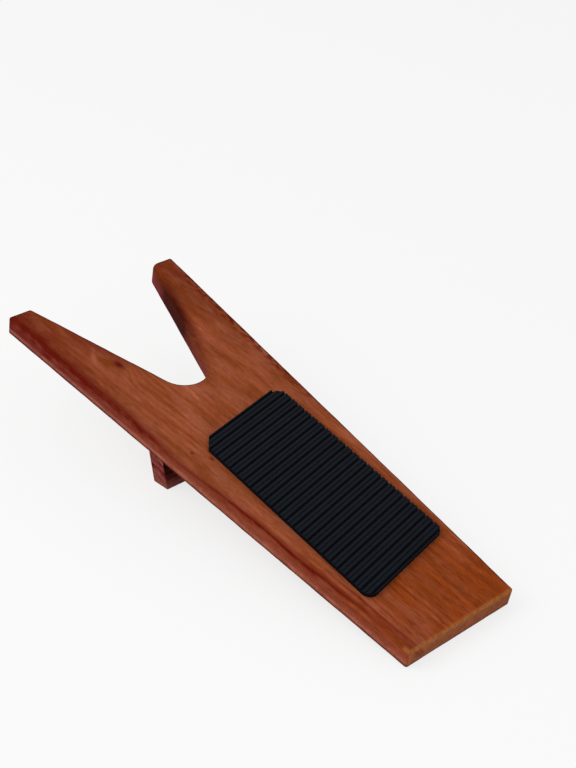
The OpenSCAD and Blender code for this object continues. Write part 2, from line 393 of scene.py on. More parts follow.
class StageSettings(bpy.types.PropertyGroup):
    """Camera, lamps and floor."""

    camera_place: triple("Camera place", (0.54085, -0.47802, 0.54423), "Place of the camera, in metres")
    camera_view: triple("Camera view", (-0.61587, 0.56835, -0.54562), "Direction in which the camera looks")
    camera_right: triple(
        "Camera right", (0.66092, 0.74964, 0.03485), "Direction to the right of the picture"
    )
    lens: FloatProperty(
        name="Lens", default=72.09, min=20.0, max=300.0, description="Focal length in millimetres"
    )
    key_place: triple("Key place", (-0.55, -1.00, 1.15), "Place of the large key lamp")
    key_size: length("Key size", 1.1, "Width of the key lamp")
    key_power: strength("Key power", 9.0, "Power of the large key lamp, in watts")
    fill_place: triple("Fill place", (1.15, -0.35, 0.75), "Place of the fill lamp")
    fill_size: length("Fill size", 1.2, "Width of the fill lamp")
    fill_power: strength("Fill power", 3.0, "Power of the fill lamp, in watts")
    lamp_aim: triple("Lamp aim", (0.0, 0.0, 0.03), "Place that both lamps face")
    sky: strength("Sky", 0.62, "Strength of the even light from all round")
    floor: colour("Floor", (0.95, 0.95, 0.95), "Pale floor")
    floor_glow: fraction("Floor glow", 0.75, "How far the floor is lifted to white for the camera alone")


def tilt_of(riser):
    """Lean of the board, from the riser's height and its floor distance from the tail."""
    return math.atan(riser.height / riser.reach)


def board_axes(scene):
    """The board's own frame as a matrix: x is 0 at the tail and runs on to it, z is 0 underneath."""
    board, riser = scene.jack_board, scene.jack_riser
    tilt = tilt_of(riser)
    rest_x = (RISER_LOW.x + RISER_HIGH.x) / 2 + riser.reach
    return (
        Matrix.Translation((rest_x, 0, BOARD_LOW.z))
        @ Matrix.Rotation(tilt, 4, "Y")
        @ Matrix.Translation((board.arris, 0, 0))
    )


def carry(matrix, points):
    """Points, as rows, moved by a matrix."""
    a = np.array(matrix, float)
    return points @ a[:3, :3].T + a[:3, 3]


def linear(value):
    """A colour as it looks on screen, turned into light, with full opacity."""
    c = np.array(value[:3], float)
    c = np.where(c <= 0.04045, c / 12.92, ((c + 0.055) / 1.055) ** 2.4)
    return (*[float(x) for x in c], 1.0)


def smooth_step(x, low, high):
    """0 below low, 1 above high and a smooth rise between."""
    t = np.clip((x - low) / (high - low), 0.0, 1.0)
    return t * t * (3 - 2 * t)


def ripple(x, waves):
    """A gentle wave along x: the sum of sines, each with its length, height and start."""
    return sum(height * np.sin(2 * np.pi * (x / size + start)) for size, height, start in waves)


def between(start, end, shares):
    """Points on a straight line, each at a share of the way along it, as rows."""
    t = shares[:, None]
    return np.array(start, float) * (1 - t) + np.array(end, float) * t


def line(start, end, count):
    """Points evenly along a straight line, as rows."""
    return between(start, end, np.linspace(0.0, 1.0, count))


def spread():
    """Shares from 0 to 1 across a half of a face, close together near both ends."""
    return 0.5 - 0.5 * np.cos(np.linspace(0.0, np.pi, FACE_COLUMNS))


def arc(centre, radius, start, end, count):
    """Points round part of a circle, from one angle to another in radians, as x, y rows."""
    angle = np.linspace(start, end, count)
    return np.stack([centre[0] + radius * np.cos(angle), centre[1] + radius * np.sin(angle)], -1)


def joined(*parts):
    """Stretches of points as one path, with each shared end kept once."""
    return np.concatenate([parts[0]] + [part[1:] for part in parts[1:]])


def respaced(path, count):
    """A path's points placed again, evenly by its length plus TURN_LENGTH for each radian that it turns."""
    step = np.diff(path, axis=0)
    heading = np.unwrap(np.arctan2(step[:, 1], step[:, 0]))
    turn = np.abs(np.gradient(heading))
    run = np.concatenate([[0.0], np.cumsum(np.linalg.norm(step, axis=1) + TURN_LENGTH * turn)])
    at = np.linspace(0.0, run[-1], count)
    return np.stack([np.interp(at, run, path[:, k]) for k in range(2)], -1)


def outward(path):
    """Directions in plan square to a path, on its left."""
    ahead = np.gradient(path, axis=0)
    ahead /= np.linalg.norm(ahead, axis=1)[:, None]
    return np.stack([-ahead[:, 1], ahead[:, 0]], -1)


def grid_faces(rows, columns, start, wrap):
    """Corner numbers of the quads of a grid of rows by columns, joined round the columns if wrap is set."""
    last = columns if wrap else columns - 1
    row, column = np.meshgrid(np.arange(rows - 1), np.arange(last), indexing="ij")
    here, right = row * columns + column, row * columns + (column + 1) % columns
    return np.stack([here, right, right + columns, here + columns], -1).reshape(-1, 4) + start


def sheets_mesh(name, sheets, wrap=False):
    """One closed mesh from grids of points, joined where their edges meet, its faces turned outwards."""
    points, faces, start = [], [], 0
    for sheet in sheets:
        rows, columns = sheet.shape[:2]
        points.append(sheet.reshape(-1, 3))
        faces.append(grid_faces(rows, columns, start, wrap))
        start += rows * columns
    mesh = bpy.data.meshes.new(name)
    mesh.from_pydata(np.concatenate(points).tolist(), [], np.concatenate(faces).tolist())
    work = bmesh.new()
    work.from_mesh(mesh)
    bmesh.ops.remove_doubles(work, verts=work.verts, dist=MERGE)
    bmesh.ops.dissolve_degenerate(work, edges=work.edges, dist=MERGE)
    bmesh.ops.recalc_face_normals(work, faces=work.faces)
    work.to_mesh(mesh)
    work.free()
    return mesh


def closed_rings(rings):
    """Rings of points with both ends closed on a point: the middle of the first ring and of the last."""
    near = np.broadcast_to(rings[0].mean(0), rings[0].shape)
    far = np.broadcast_to(rings[-1].mean(0), rings[-1].shape)
    return np.concatenate([near[None], rings, far[None]])


def turned(profile, spot, count):
    """A profile of radius and height rows, turned round an upright axis at a spot in plan."""
    angle = np.linspace(0.0, 2 * np.pi, count, endpoint=False)
    radius, height = profile[:, :1], profile[:, 1:]
    return np.stack([
        spot[0] + radius * np.cos(angle), spot[1] + radius * np.sin(angle), height + 0 * angle
    ], -1)


def vertex_points(mesh):
    """The mesh's vertices as rows."""
    points = np.zeros(len(mesh.vertices) * 3)
    mesh.vertices.foreach_get("co", points)
    return points.reshape(-1, 3)


def set_attribute(mesh, name, values):
    """A number for each vertex, by name."""
    layer = mesh.attributes.new(name, "FLOAT", "POINT")
    layer.data.foreach_set("value", np.asarray(values, np.float32))


def cut(mesh, tools):
    """The mesh with each tool mesh cut out of it."""
    block = bpy.data.objects.new("uncut", mesh)
    bpy.context.scene.collection.objects.link(block)
    cutters = []
    for tool in tools:
        cutter = bpy.data.objects.new("cutter", tool)
        bpy.context.scene.collection.objects.link(cutter)
        modifier = block.modifiers.new(cutter.name, "BOOLEAN")
        modifier.operation, modifier.solver, modifier.object = "DIFFERENCE", "EXACT", cutter
        cutters.append(cutter)
    graph = bpy.context.evaluated_depsgraph_get()
    result = bpy.data.meshes.new_from_object(block.evaluated_get(graph))
    result.name = mesh.name
    for thing in (block, *cutters):
        bpy.data.objects.remove(thing)
    return result


def new_piece(name, mesh, material, node, sharp_angle=SHARP_ANGLE):
    """An object for a mesh, in its finish, that rides on the jack and stands for a CAD node."""
    mesh.shade_smooth()
    mesh.set_sharp_from_angle(angle=math.radians(sharp_angle))
    mesh.materials.clear()
    mesh.materials.append(material)
    piece = bpy.data.objects.new(name, mesh)
    bpy.context.scene.collection.objects.link(piece)
    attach(piece, "root")
    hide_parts(node)
    return piece


class Notch:
    """The heel notch and a rounded prong tip in plan, for the half of the board with y above 0."""

    def __init__(self, board):
        run = board.depth - board.notch_radius
        reach = math.hypot(run, board.mouth / 2)
        self.mouth = np.array([-board.board_length, board.mouth / 2])
        self.centre = np.array([run - board.board_length, 0.0])
        self.radius = board.notch_radius
        self.slope = math.atan2(board.mouth / 2, run) - math.asin(self.radius / reach)
        self.along = np.array([math.cos(self.slope), -math.sin(self.slope)])
        self.side = math.sqrt(reach * reach - self.radius * self.radius)
        self.tangent = self.mouth + self.side * self.along

    def tip_centre(self, radius):
        """Centre of the round of that radius in the corner between the notch and the prong's end."""
        half_corner = (math.pi / 2 + self.slope) / 2
        bisector = np.array([math.sin(half_corner), math.cos(half_corner)])
        return self.mouth + radius / math.sin(half_corner) * bisector

    def clearance(self, plan):
        """Distance of points in plan from the notch: from its straight side, or past that from its round."""
        from_mouth = np.stack([plan[:, 0], np.abs(plan[:, 1])], -1) - self.mouth
        run = from_mouth @ self.along
        across = from_mouth @ np.array([-self.along[1], self.along[0]])
        from_round = np.hypot(plan[:, 0] - self.centre[0], plan[:, 1]) - self.radius
        return np.where(run > self.side, from_round, across)


def taper_of(board):
    """How far each side of the board draws in for each metre towards the tail."""
    return (board.prong_width - board.tail_width) / 2 / board.board_length


def half_outline(board, side):
    """The outline of one half of the board in four stretches: from the bottom of the notch to the prong tip,
    across the tip, along the side to level with the bottom of the notch, and round the tail to its middle.
    Straight lines join arcs at the corners."""
    notch = Notch(board)
    tip_radius = board.tip_radius_right if side > 0 else board.tip_radius_left
    inner = notch.tip_centre(tip_radius)
    r, far_x = board.corner_radius, -board.board_length
    half_tip, half_tail = board.prong_width / 2, board.tail_width / 2
    lean = math.atan(taper_of(board))
    square = math.pi / 2 - lean
    tip_centre = (far_x + r, half_tip - r / math.cos(lean) - r * math.tan(lean))
    tail_centre = (-r, half_tail - r / math.cos(lean) + r * math.tan(lean))
    side_start = np.array(tip_centre) + r * np.array([math.cos(square), math.sin(square)])
    side_end = np.array(tail_centre) + r * np.array([math.cos(square), math.sin(square)])
    level = notch.centre[0] + notch.radius
    level_share = (level - side_start[0]) / (side_end[0] - side_start[0])
    side_level = side_start + (side_end - side_start) * level_share
    round_tip = arc(inner, tip_radius, -math.pi / 2 - notch.slope, -math.pi, TIP_ROUND_POINTS)
    into_notch = joined(
        arc(notch.centre, notch.radius, 0.0, math.pi / 2 - notch.slope, NOTCH_ROUND_POINTS),
        line(notch.tangent, round_tip[0], STRAIGHT_POINTS),
        round_tip,
    )
    across_tip = between((far_x, inner[1]), (far_x, tip_centre[1]), spread())
    down_side = joined(
        arc(tip_centre, r, math.pi, square, CORNER_POINTS),
        line(side_start, side_level, STRAIGHT_POINTS),
    )
    round_tail = joined(
        line(side_level, side_end, STRAIGHT_POINTS),
        arc(tail_centre, r, square, 0.0, CORNER_POINTS),
        line((0.0, tail_centre[1]), (0.0, 0.0), END_POINTS),
    )
    return (
        respaced(into_notch, NOTCH_ROWS + 1),
        across_tip,
        respaced(down_side, NOTCH_ROWS + 1),
        respaced(round_tail, TAIL_ROWS + 1),
    )


def eased_rim(path, board, side):
    """The rim along a path: a quarter circle from the top face, the upright side and a quarter circle to the
    underside. The radius wanders along the path, as on an edge sanded by hand."""
    normal = outward(path)
    normal[0], normal[-1] = (-1.0, 0.0), (1.0, 0.0)
    run = np.concatenate([[0.0], np.cumsum(np.linalg.norm(np.diff(path, axis=0), axis=1))])
    fade = smooth_step(run, 0.0, WANDER_FADE) * smooth_step(run[-1] - run, 0.0, WANDER_FADE)
    wander = ripple(run + side * WANDER_SHIFT, ARRIS_WAVES)
    radius = board.arris_radius * np.clip(1.0 + fade * wander, *ARRIS_LIMITS)[:, None]
    turn = np.linspace(0.0, np.pi / 2, RIM_STEPS)
    inset = radius * (1 - np.sin(turn))
    drop = radius * (1 - np.cos(turn))
    wall = np.linspace(0.0, 1.0, RIM_STEPS)[1:-1]
    z_wall = board.thickness - radius - (board.thickness - 2 * radius) * wall
    z = np.concatenate([board.thickness - drop, z_wall, drop[:, ::-1]], 1)
    inset = np.concatenate([inset, 0 * z_wall, inset[:, ::-1]], 1)
    plan = path[:, None, :] - normal[:, None, :] * inset[..., None]
    return np.concatenate([plan, z[..., None]], -1)


def board_sheets(board, side):
    """Grids for one half of the board: its rim, and each face ruled from the side's edge to the notch's edge
    and then to the centre line."""
    notch_edge, tip_edge, side_edge, tail_edge = half_outline(board, side)
    rim = eased_rim(joined(notch_edge, tip_edge, side_edge, tail_edge), board, side)
    tip_start, side_start = NOTCH_ROWS, NOTCH_ROWS + FACE_COLUMNS - 1
    level = side_start + NOTCH_ROWS
    t = spread()[None, :, None]
    sheets = [rim]
    for height in (0, -1):
        edge = rim[:, height]
        inner, outer = edge[: tip_start + 1][::-1], edge[side_start : level + 1]
        front = outer[:, None] * (1 - t) + inner[:, None] * t
        front[0] = edge[tip_start : side_start + 1][::-1]
        centre_line = line(edge[0], edge[-1], TAIL_ROWS + 1)
        back = edge[level:][:, None] * (1 - t) + centre_line[:, None] * t
        sheets += [front, back]
    return [sheet * np.array([1.0, side, 1.0]) for sheet in sheets]


def arris_distance(board, points):
    """How far points are from the nearest edge between two faces, as a share of ARRIS_REACH: the greater of
    their distance from the outline in plan and from the nearer face."""
    taper = taper_of(board)
    half = board.tail_width / 2 - points[:, 0] * taper
    in_plan = np.minimum.reduce([
        (half - np.abs(points[:, 1])) * math.cos(math.atan(taper)),
        points[:, 0] + board.board_length,
        -points[:, 0],
        np.abs(Notch(board).clearance(points[:, :2])),
    ])
    in_depth = np.minimum(points[:, 2], board.thickness - points[:, 2])
    return np.clip(np.maximum(in_plan, in_depth) / ARRIS_REACH, 0.0, 1.0)


def screw_spot(side):
    """Where a screw stands in plan, on the right for side 1 and on the left for side -1."""
    return (SCREW_LOW.x + SCREW_HIGH.x) / 2, side * (SCREW_LOW.y + SCREW_HIGH.y) / 2


def hole_cutter(screws, side):
    """What a screw's hole takes away: a countersink for the head, then a straight hole past the point. It
    starts below the foot, so that it cuts cleanly through the face there."""
    head, shank = screws.head / 2 + screws.gap, screws.diameter / 2 + screws.gap
    face, point = SCREW_LOW.z, SCREW_HIGH.z + screws.gap
    cone = face + screws.rim + (screws.head - screws.diameter) / 2
    profile = np.array([[head, -face], [head, face + screws.rim], [shank, cone], [shank, point]])
    rings = turned(profile, screw_spot(side), HOLE_SIDES)
    return sheets_mesh("screw_hole", [closed_rings(rings)], wrap=True)


def rounded_section(corners, radius, inset):
    """A convex outline drawn in by an inset, with its corners rounded: arcs about centres that stay put,
    joined by straight stretches."""
    count = len(corners)
    stretches = []
    for k in range(count):
        corner, before, after = corners[k], corners[k - 1], corners[(k + 1) % count]
        back = (before - corner) / np.linalg.norm(before - corner)
        ahead = (after - corner) / np.linalg.norm(after - corner)
        half = math.acos(float(back @ ahead)) / 2
        middle = (back + ahead) / np.linalg.norm(back + ahead)
        centre = corner + middle * radius / math.sin(half)
        start = math.atan2(back[0], -back[1])
        end = start + math.pi - 2 * half
        stretches.append(arc(centre, radius - inset, start, end, SECTION_CORNER_POINTS))
    following = stretches[1:] + stretches[:1]
    sides = [line(a[-1], b[0], SECTION_SIDE_POINTS)[1:-1] for a, b in zip(stretches, following)]
    return np.concatenate([part for pair in zip(stretches, sides) for part in pair])


def riser_mesh(board, riser, screws):
    """The riser as rings along its length. Each ring is the block's section, a quadrilateral cut to the
    board's slope. The end planes lean and follow the board's sides, and their edges are eased by a quarter
    circle."""
    slope = riser.height / riser.reach
    middle = (RISER_LOW.x + RISER_HIGH.x) / 2
    half = (RISER_HIGH.x - RISER_LOW.x) / 2
    taper = taper_of(board)
    station = board.arris + riser.reach / math.cos(math.atan(slope))
    half_length = board.tail_width / 2 + station * taper - riser.inset
    lean = riser.lean / riser.height / math.cos(math.atan(taper))
    corners = np.array([
        [-half, 0.0],
        [half, 0.0],
        [half, (riser.reach - half) * slope],
        [-half, (riser.reach + half) * slope],
    ])

    def end_place(section):
        """Half the block's length at each point of a section."""
        return half_length - section[:, 0] * taper + (section[:, 1] - riser.height) * lean

    radius = riser.arris_radius
    turn = np.linspace(0.0, np.pi / 2, RISER_EASE_STEPS)
    insets = [radius * (1 - math.cos(angle)) * RISER_ROUNDING_USED for angle in turn]
    eased = [rounded_section(corners, radius, inset) for inset in insets]
    back_off = radius * (1 - np.sin(turn))
    heart = eased[-1].mean(0)
    cap = [heart + (eased[-1] - heart) * share for share in RISER_CAP_RINGS]
    ends = [(section, end_place(section) - gap) for section, gap in zip(eased, back_off)]
    ends += [(section, end_place(section)) for section in cap]
    body_half = end_place(eased[0]) - back_off[0]
    body = [(eased[0], body_half * share) for share in np.linspace(-1, 1, RISER_RINGS)[1:-1]]
    rows = [(section, -y) for section, y in ends[::-1]] + body + ends
    rings = np.stack([np.stack([section[:, 0] + middle, y, section[:, 1]], -1) for section, y in rows])
    mesh = sheets_mesh("riser_wood", [closed_rings(rings)], wrap=True)
    return cut(mesh, [hole_cutter(screws, side) for side in (1, -1)])


def rib_height(pad, u):
    """Height of the pad's top along it. Every rib pitch has a deep groove with sloping walls, and half-way
    between two of them a shallow one. The crests between are slightly crowned."""
    tilt = math.cos(pad.skew)
    count = math.floor((pad.pad_length - 2 * pad.rib_border) / pad.rib_pitch)
    first = -count * pad.rib_pitch / 2
    pair = np.clip(np.round((u - first) / pad.rib_pitch), 0, count)
    from_deep = np.abs(u - first - pair * pad.rib_pitch) * tilt
    fine = np.clip(np.floor((u - first) / pad.rib_pitch), 0, count - 1) + 0.5
    from_fine = np.abs(u - first - fine * pad.rib_pitch) * tilt
    deep = 1 - smooth_step(from_deep, pad.groove_floor / 2, pad.groove_width / 2)
    shallow = 1 - smooth_step(from_fine, 0.0, pad.fine_width / 2)
    crest = np.minimum(from_deep - pad.groove_width / 2, from_fine - pad.fine_width / 2)
    crown = CROWN_DROP * (1 - smooth_step(crest, 0.0, CROWN_REACH))
    return pad.thickness - np.maximum(pad.groove_depth * deep, pad.fine_depth * shallow) - crown * (1 - deep)


def pad_limits(pad, u):
    """Where the pad's long edges lie for each place along it. Near the tail end they follow the corner's
    arc, found from its centre's distance to the slanted line at that place, and near the notch end they
    close in evenly."""
    half_u, half_v, r = pad.pad_length / 2, pad.width / 2, pad.corner_radius
    c, s = math.cos(pad.skew), math.sin(pad.skew)
    closing = np.clip((half_u - pad.clip) * -1 - u, 0.0, None) * c
    limits = []
    for side in (1, -1):
        centre_y = side * (half_v - r)
        centre_square = half_u * c - r
        centre_x = (centre_square - s * centre_y) / c
        centre_along = -s * centre_x + c * centre_y
        square = u * c - centre_square
        reach = np.sqrt(np.clip(r * r - square * square, 0.0, None))
        on_arc = c * (centre_along + side * reach) + u * s * c
        past = square > side * r * s
        limits.append(np.where(past, on_arc, side * (half_v - closing)))
    return limits


def pad_mesh(pad, base):
    """The pad as rings, one for each place u along it: up one wall, over the ribs and down the other, all
    slanted by the skew. The top edge is eased by a small quarter circle all round."""
    half_u = pad.pad_length / 2
    quarter = np.linspace(0.0, np.pi / 2, PAD_CORNER_ROWS)
    near_end = half_u - pad.corner_radius * (1 - np.cos(quarter))
    ribs = np.arange(-half_u, half_u, pad.rib_pitch / RIB_SAMPLES)
    ends = PAD_EASE * (1 - np.cos(np.linspace(0.0, np.pi / 2, PAD_EASE_ROWS)))
    u = np.unique(np.round(np.concatenate([ribs, near_end, half_u - ends, ends - half_u]), PAD_DIGITS))
    high, low = pad_limits(pad, u)
    into_ease = np.clip(PAD_EASE - (half_u - np.abs(u)), 0.0, PAD_EASE)
    end_ease = PAD_EASE - np.sqrt(np.clip(PAD_EASE**2 - into_ease**2, 0.0, None))
    top = rib_height(pad, u) - end_ease
    turn = np.linspace(0.0, np.pi / 2, PAD_EDGE_POINTS)
    edge = np.clip((high - low) * PAD_EDGE_SHARE, 0.0, PAD_EASE)[:, None]
    inset, drop = edge * (1 - np.cos(turn)), edge * (1 - np.sin(turn))
    inner = np.linspace(0.0, 1.0, PAD_TOP_POINTS)[1:-1]
    across = np.concatenate([
        low[:, None] + inset,
        low[:, None] + edge + (high - low - 2 * edge[:, 0])[:, None] * inner,
        high[:, None] - inset[:, ::-1],
    ], 1)
    level = np.concatenate([
        top[:, None] - drop,
        top[:, None] + 0 * inner,
        top[:, None] - drop[:, ::-1],
    ], 1)
    under = np.linspace(1.0, 0.0, PAD_UNDER_POINTS)
    v = np.concatenate([across, low[:, None] + (high - low)[:, None] * under], 1)
    z = np.concatenate([level, np.zeros((len(u), len(under)))], 1)
    x = -pad.from_tail - half_u + u[:, None] - v * math.tan(pad.skew)
    return sheets_mesh("pad_rubber", [closed_rings(np.stack([x, v + pad.aside, z + base], -1))], wrap=True)


def screw_mesh(screws, side):
    """The screw as rings up its axis. The radius follows the head's cone, the smooth shank and the point,
    and the thread adds a ridge wherever the height less the turn's share of the pitch is near a whole number
    of pitches."""
    head, shank, root = screws.head / 2, screws.diameter / 2, screws.root / 2
    full = SCREW_HIGH.z - SCREW_LOW.z
    cone = screws.rim + head - shank
    plain = np.array([
        [head * HEAD_FACE, 0.0],
        [head, HEAD_EASE],
        [head, screws.rim],
        [shank, cone],
        [shank, screws.smooth],
    ])
    height = np.linspace(screws.smooth, full, THREAD_ROWS)[1:]
    angle = np.linspace(0.0, 2 * np.pi, SCREW_SIDES, endpoint=False)
    phase = (height[:, None] / screws.pitch - angle / (2 * np.pi)) % 1.0
    ridge = np.clip(1 - np.abs(phase - 0.5) / RIDGE_HALF, 0.0, 1.0) ** RIDGE_POWER
    point = np.sqrt(np.clip((full - height) / screws.point, 0.0, 1.0))[:, None]
    start = smooth_step(height, screws.smooth, screws.smooth + screws.pitch)[:, None]
    core = shank + (root - shank) * start
    radius = (core + (shank - core) * ridge) * point
    spot = screw_spot(side)
    lower = turned(plain, spot, SCREW_SIDES)
    upper = np.stack([
        spot[0] + radius * np.cos(angle), spot[1] + radius * np.sin(angle), height[:, None] + 0 * radius
    ], -1)
    rings = np.concatenate([lower, upper])
    rings[..., 2] += SCREW_LOW.z
    mesh = sheets_mesh("screw_steel", [closed_rings(rings)], wrap=True)
    return cut(mesh, [cross_cutter(screws, spot, CROSS_TURN_RIGHT if side > 0 else CROSS_TURN_LEFT)])


def cross_cutter(screws, spot, turn):
    """What the cross recess takes away: a cross in plan, narrowing into the head."""
    arm, half, depth = screws.cross_length / 2, screws.cross_width / 2, screws.cross_depth
    quarter = np.array([[half, half], [half, arm], [-half, arm]])
    angles = np.arange(4) * math.pi / 2 + turn
    cross = np.concatenate([
        quarter @ np.array([[math.cos(a), math.sin(a)], [-math.sin(a), math.cos(a)]]) for a in angles
    ])
    levels = [(SCREW_LOW.z - depth, 1.0), (SCREW_LOW.z, 1.0), (SCREW_LOW.z + depth, CROSS_NARROWS_TO)]
    rings = np.stack([
        np.column_stack([cross * share + spot, np.full(len(cross), height)]) for height, share in levels
    ])
    return sheets_mesh("cross_recess", [closed_rings(rings)], wrap=True)


class Amount:
    """A number in a shader tree, with ordinary arithmetic: each operation places one node."""

    def __init__(self, tree, socket):
        self.tree, self.socket = tree, socket

    def do(self, operation, *others):
        """The number put through a Math node with the others."""
        node = self.tree.nodes.new("ShaderNodeMath")
        node.operation = operation
        for slot, value in zip(node.inputs, (self, *others)):
            join(self.tree, value, slot)
        return Amount(self.tree, node.outputs[0])

    def __add__(self, other):
        return self.do("ADD", other)

    def __sub__(self, other):
        return self.do("SUBTRACT", other)

    def __rsub__(self, other):
        return self.do("MULTIPLY_ADD", -1.0, other)

    def __mul__(self, other):
        return self.do("MULTIPLY", other)

    def __truediv__(self, other):
        return self.do("DIVIDE", other)

    __radd__ = __add__

    def step(self, low, high):
        """0 at low, 1 at high and a smooth rise between."""
        node = self.tree.nodes.new("ShaderNodeMapRange")
        node.interpolation_type = "SMOOTHSTEP"
        for name, value in (("Value", self), ("From Min", low), ("From Max", high)):
            join(self.tree, value, node.inputs[name])
        return Amount(self.tree, node.outputs[0])

    def drop(self, low, high):
        """1 at low, 0 at high and a smooth fall between."""
        return 1.0 - self.step(low, high)

    def hump(self, middle, width):
        """A bell with height 1 at middle, down to a third of that one width away."""
        away = (self - middle) / width
        return (away * away * -1.0).do("EXPONENT")


def join(tree, value, slot):
    """Links an amount or a socket to an input, or sets the input to a plain value."""
    if isinstance(value, Amount):
        value = value.socket
    if isinstance(value, bpy.types.NodeSocket):
        tree.links.new(value, slot)
    else:
        slot.default_value = value


def shader_node(tree, kind, inputs, **settings):
    """A node with its settings and its inputs, given by name or number."""
    node = tree.nodes.new(kind)
    for name, value in settings.items():
        setattr(node, name, value)
    for name, value in inputs.items():
        join(tree, value, node.inputs[name])
    return node


def mix(tree, share_of_second, first, second):
    """Two colours mixed. The node's inputs 0, 6 and 7 are its share and its two colours."""
    inputs = {0: share_of_second, 6: first, 7: second}
    node = shader_node(tree, "ShaderNodeMix", inputs, data_type="RGBA", clamp_factor=True)
    return node.outputs[2]


def brighter(tree, tint, amount):
    """A colour times an amount."""
    tint = tint[:3] if isinstance(tint, tuple) else tint
    node = shader_node(tree, "ShaderNodeVectorMath", {0: tint, "Scale": amount}, operation="SCALE")
    return node.outputs[0]


def vector(tree, x, y, z):
    """A vector from three amounts."""
    return shader_node(tree, "ShaderNodeCombineXYZ", {0: x, 1: y, 2: z}).outputs[0]


def noise(tree, place, sizes, detail=2.0, rough=0.5, warp=0.0, layer=0.0):
    """Noise from 0 to 1 whose spots have these sizes along x, y and z, in the units of the place. Each layer
    number gives another noise."""
    scale = tuple(1.0 / size for size in sizes)
    scaled = shader_node(tree, "ShaderNodeVectorMath", {0: place, 1: scale}, operation="MULTIPLY")
    inputs = {
        "Vector": scaled.outputs[0], "W": layer, "Scale": 1.0,
        "Detail": detail, "Roughness": rough, "Distortion": warp,
    }
    return Amount(tree, shader_node(tree, "ShaderNodeTexNoise", inputs, noise_dimensions="4D").outputs[0])


def components(tree, place):
    """A vector's three amounts."""
    node = shader_node(tree, "ShaderNodeSeparateXYZ", {0: place})
    return [Amount(tree, node.outputs[k]) for k in range(3)]


def dot(tree, first, second):
    """The product of two vectors, as an amount."""
    node = shader_node(tree, "ShaderNodeVectorMath", {0: first, 1: tuple(second)}, operation="DOT_PRODUCT")
    return Amount(tree, node.outputs["Value"])


def new_group(name, inputs, outputs):
    """An empty node group with its inputs, each a label, kind and value, and its outputs, which are plain
    numbers with these labels."""
    group = bpy.data.node_groups.new(name, "ShaderNodeTree")
    for label, kind, value in inputs:
        socket = group.interface.new_socket(name=label, in_out="INPUT", socket_type=kind)
        if value is not None:
            socket.default_value = value
    for label in outputs:
        group.interface.new_socket(name=label, in_out="OUTPUT", socket_type="NodeSocketFloat")
    return group, group.nodes.new("NodeGroupInput").outputs, group.nodes.new("NodeGroupOutput").inputs


def put_out(group, wanted, labels, values):
    """Links each value to the group's output of that label."""
    for label, value in zip(labels, values):
        join(group, value, wanted[label])


def wood_figure():
    """Group: the figure of sawn wood, from a place in millimetres measured from the pith, with x along the
    grain. A growth ring is a shell round the pith line. Its radius wavers along the grain, and each ring
    rises slowly to its dark latewood and ends sooner."""
    if "Wood figure" in bpy.data.node_groups:
        return bpy.data.node_groups["Wood figure"]
    inputs = [
        ("Place", "NodeSocketVector", None),
        ("Ring width", "NodeSocketFloat", 2.0),
        ("Bend", "NodeSocketFloat", 0.0),
    ]
    group, given, wanted = new_group("Wood figure", inputs, WOOD_VALUES)
    place = given["Place"]
    _, across, up = components(group, place)
    radius = (across * across + up * up).do("SQRT")
    waver = (noise(group, place, RING_WAVER, layer=1.0) - 0.5) * WAVER_HEIGHT
    ripples = (noise(group, place, RING_RIPPLE, layer=2.0) - 0.5) * RIPPLE_HEIGHT
    shell = radius + waver + ripples + Amount(group, given["Bend"])
    change = noise(group, vector(group, shell, 0.0, 0.0), RING_CHANGE, detail=1.0)
    uneven = (change - 0.5) * RING_UNEVENNESS
    phase = ((shell + uneven) / Amount(group, given["Ring width"])).do("FRACT")
    ring = phase.step(0.15, 0.70) * phase.drop(0.74, 1.0)
    fibre = noise(group, place, FIBRES, detail=4.0, rough=0.62)
    pore = noise(group, place, PORES, detail=2.0).step(0.60, 0.70)
    cloud = noise(group, place, CLOUDS, detail=3.0)
    relief = fibre * 0.35 - pore * 0.8 - ring * 0.25
    put_out(group, wanted, WOOD_VALUES, (ring, fibre, pore, cloud, relief))
    return group


def mottle():
    """Group: uneven colour and sheen from handling, as broad patches, fine specks and faint scuffs."""
    if "Mottle" in bpy.data.node_groups:
        return bpy.data.node_groups["Mottle"]
    inputs = [("Place", "NodeSocketVector", None), ("Size", "NodeSocketFloat", 10.0)]
    group, given, wanted = new_group("Mottle", inputs, MOTTLE_VALUES)
    divided = {0: given["Place"], 1: given["Size"]}
    scaled = shader_node(group, "ShaderNodeVectorMath", divided, operation="DIVIDE").outputs[0]
    patch = noise(group, scaled, PATCHES, detail=4.0, rough=0.6, warp=0.4)
    speck = noise(group, scaled, SPECKS, detail=2.0)
    scuff = noise(group, scaled, SCUFFS, detail=3.0, rough=0.7, warp=0.6).step(0.60, 0.72)
    put_out(group, wanted, MOTTLE_VALUES, (patch, speck, scuff))
    return group


def use_group(tree, group, inputs, outputs):
    """A group placed in a tree, and the amounts that it puts out."""
    node = tree.nodes.new("ShaderNodeGroup")
    node.node_tree = group
    for name, value in inputs.items():
        join(tree, value, node.inputs[name])
    return [Amount(tree, node.outputs[label]) for label in outputs]


def sawn_wood(tree, pith, ring_width, bend=0.0):
    """The wood figure's ring, fibre, pore, cloud and relief, for a place measured from the pith."""
    inputs = {"Place": pith, "Ring width": ring_width, "Bend": bend}
    return use_group(tree, wood_figure(), inputs, WOOD_VALUES)


def handled(tree, place, patch_size):
    """The mottle's patch, speck and scuff, with patches of that size in millimetres."""
    return use_group(tree, mottle(), {"Place": place, "Size": patch_size}, MOTTLE_VALUES)


def stored(tree, name):
    """A number that the mesh holds for each vertex, as an amount."""
    return Amount(tree, shader_node(tree, "ShaderNodeAttribute", {}, attribute_name=name).outputs["Fac"])


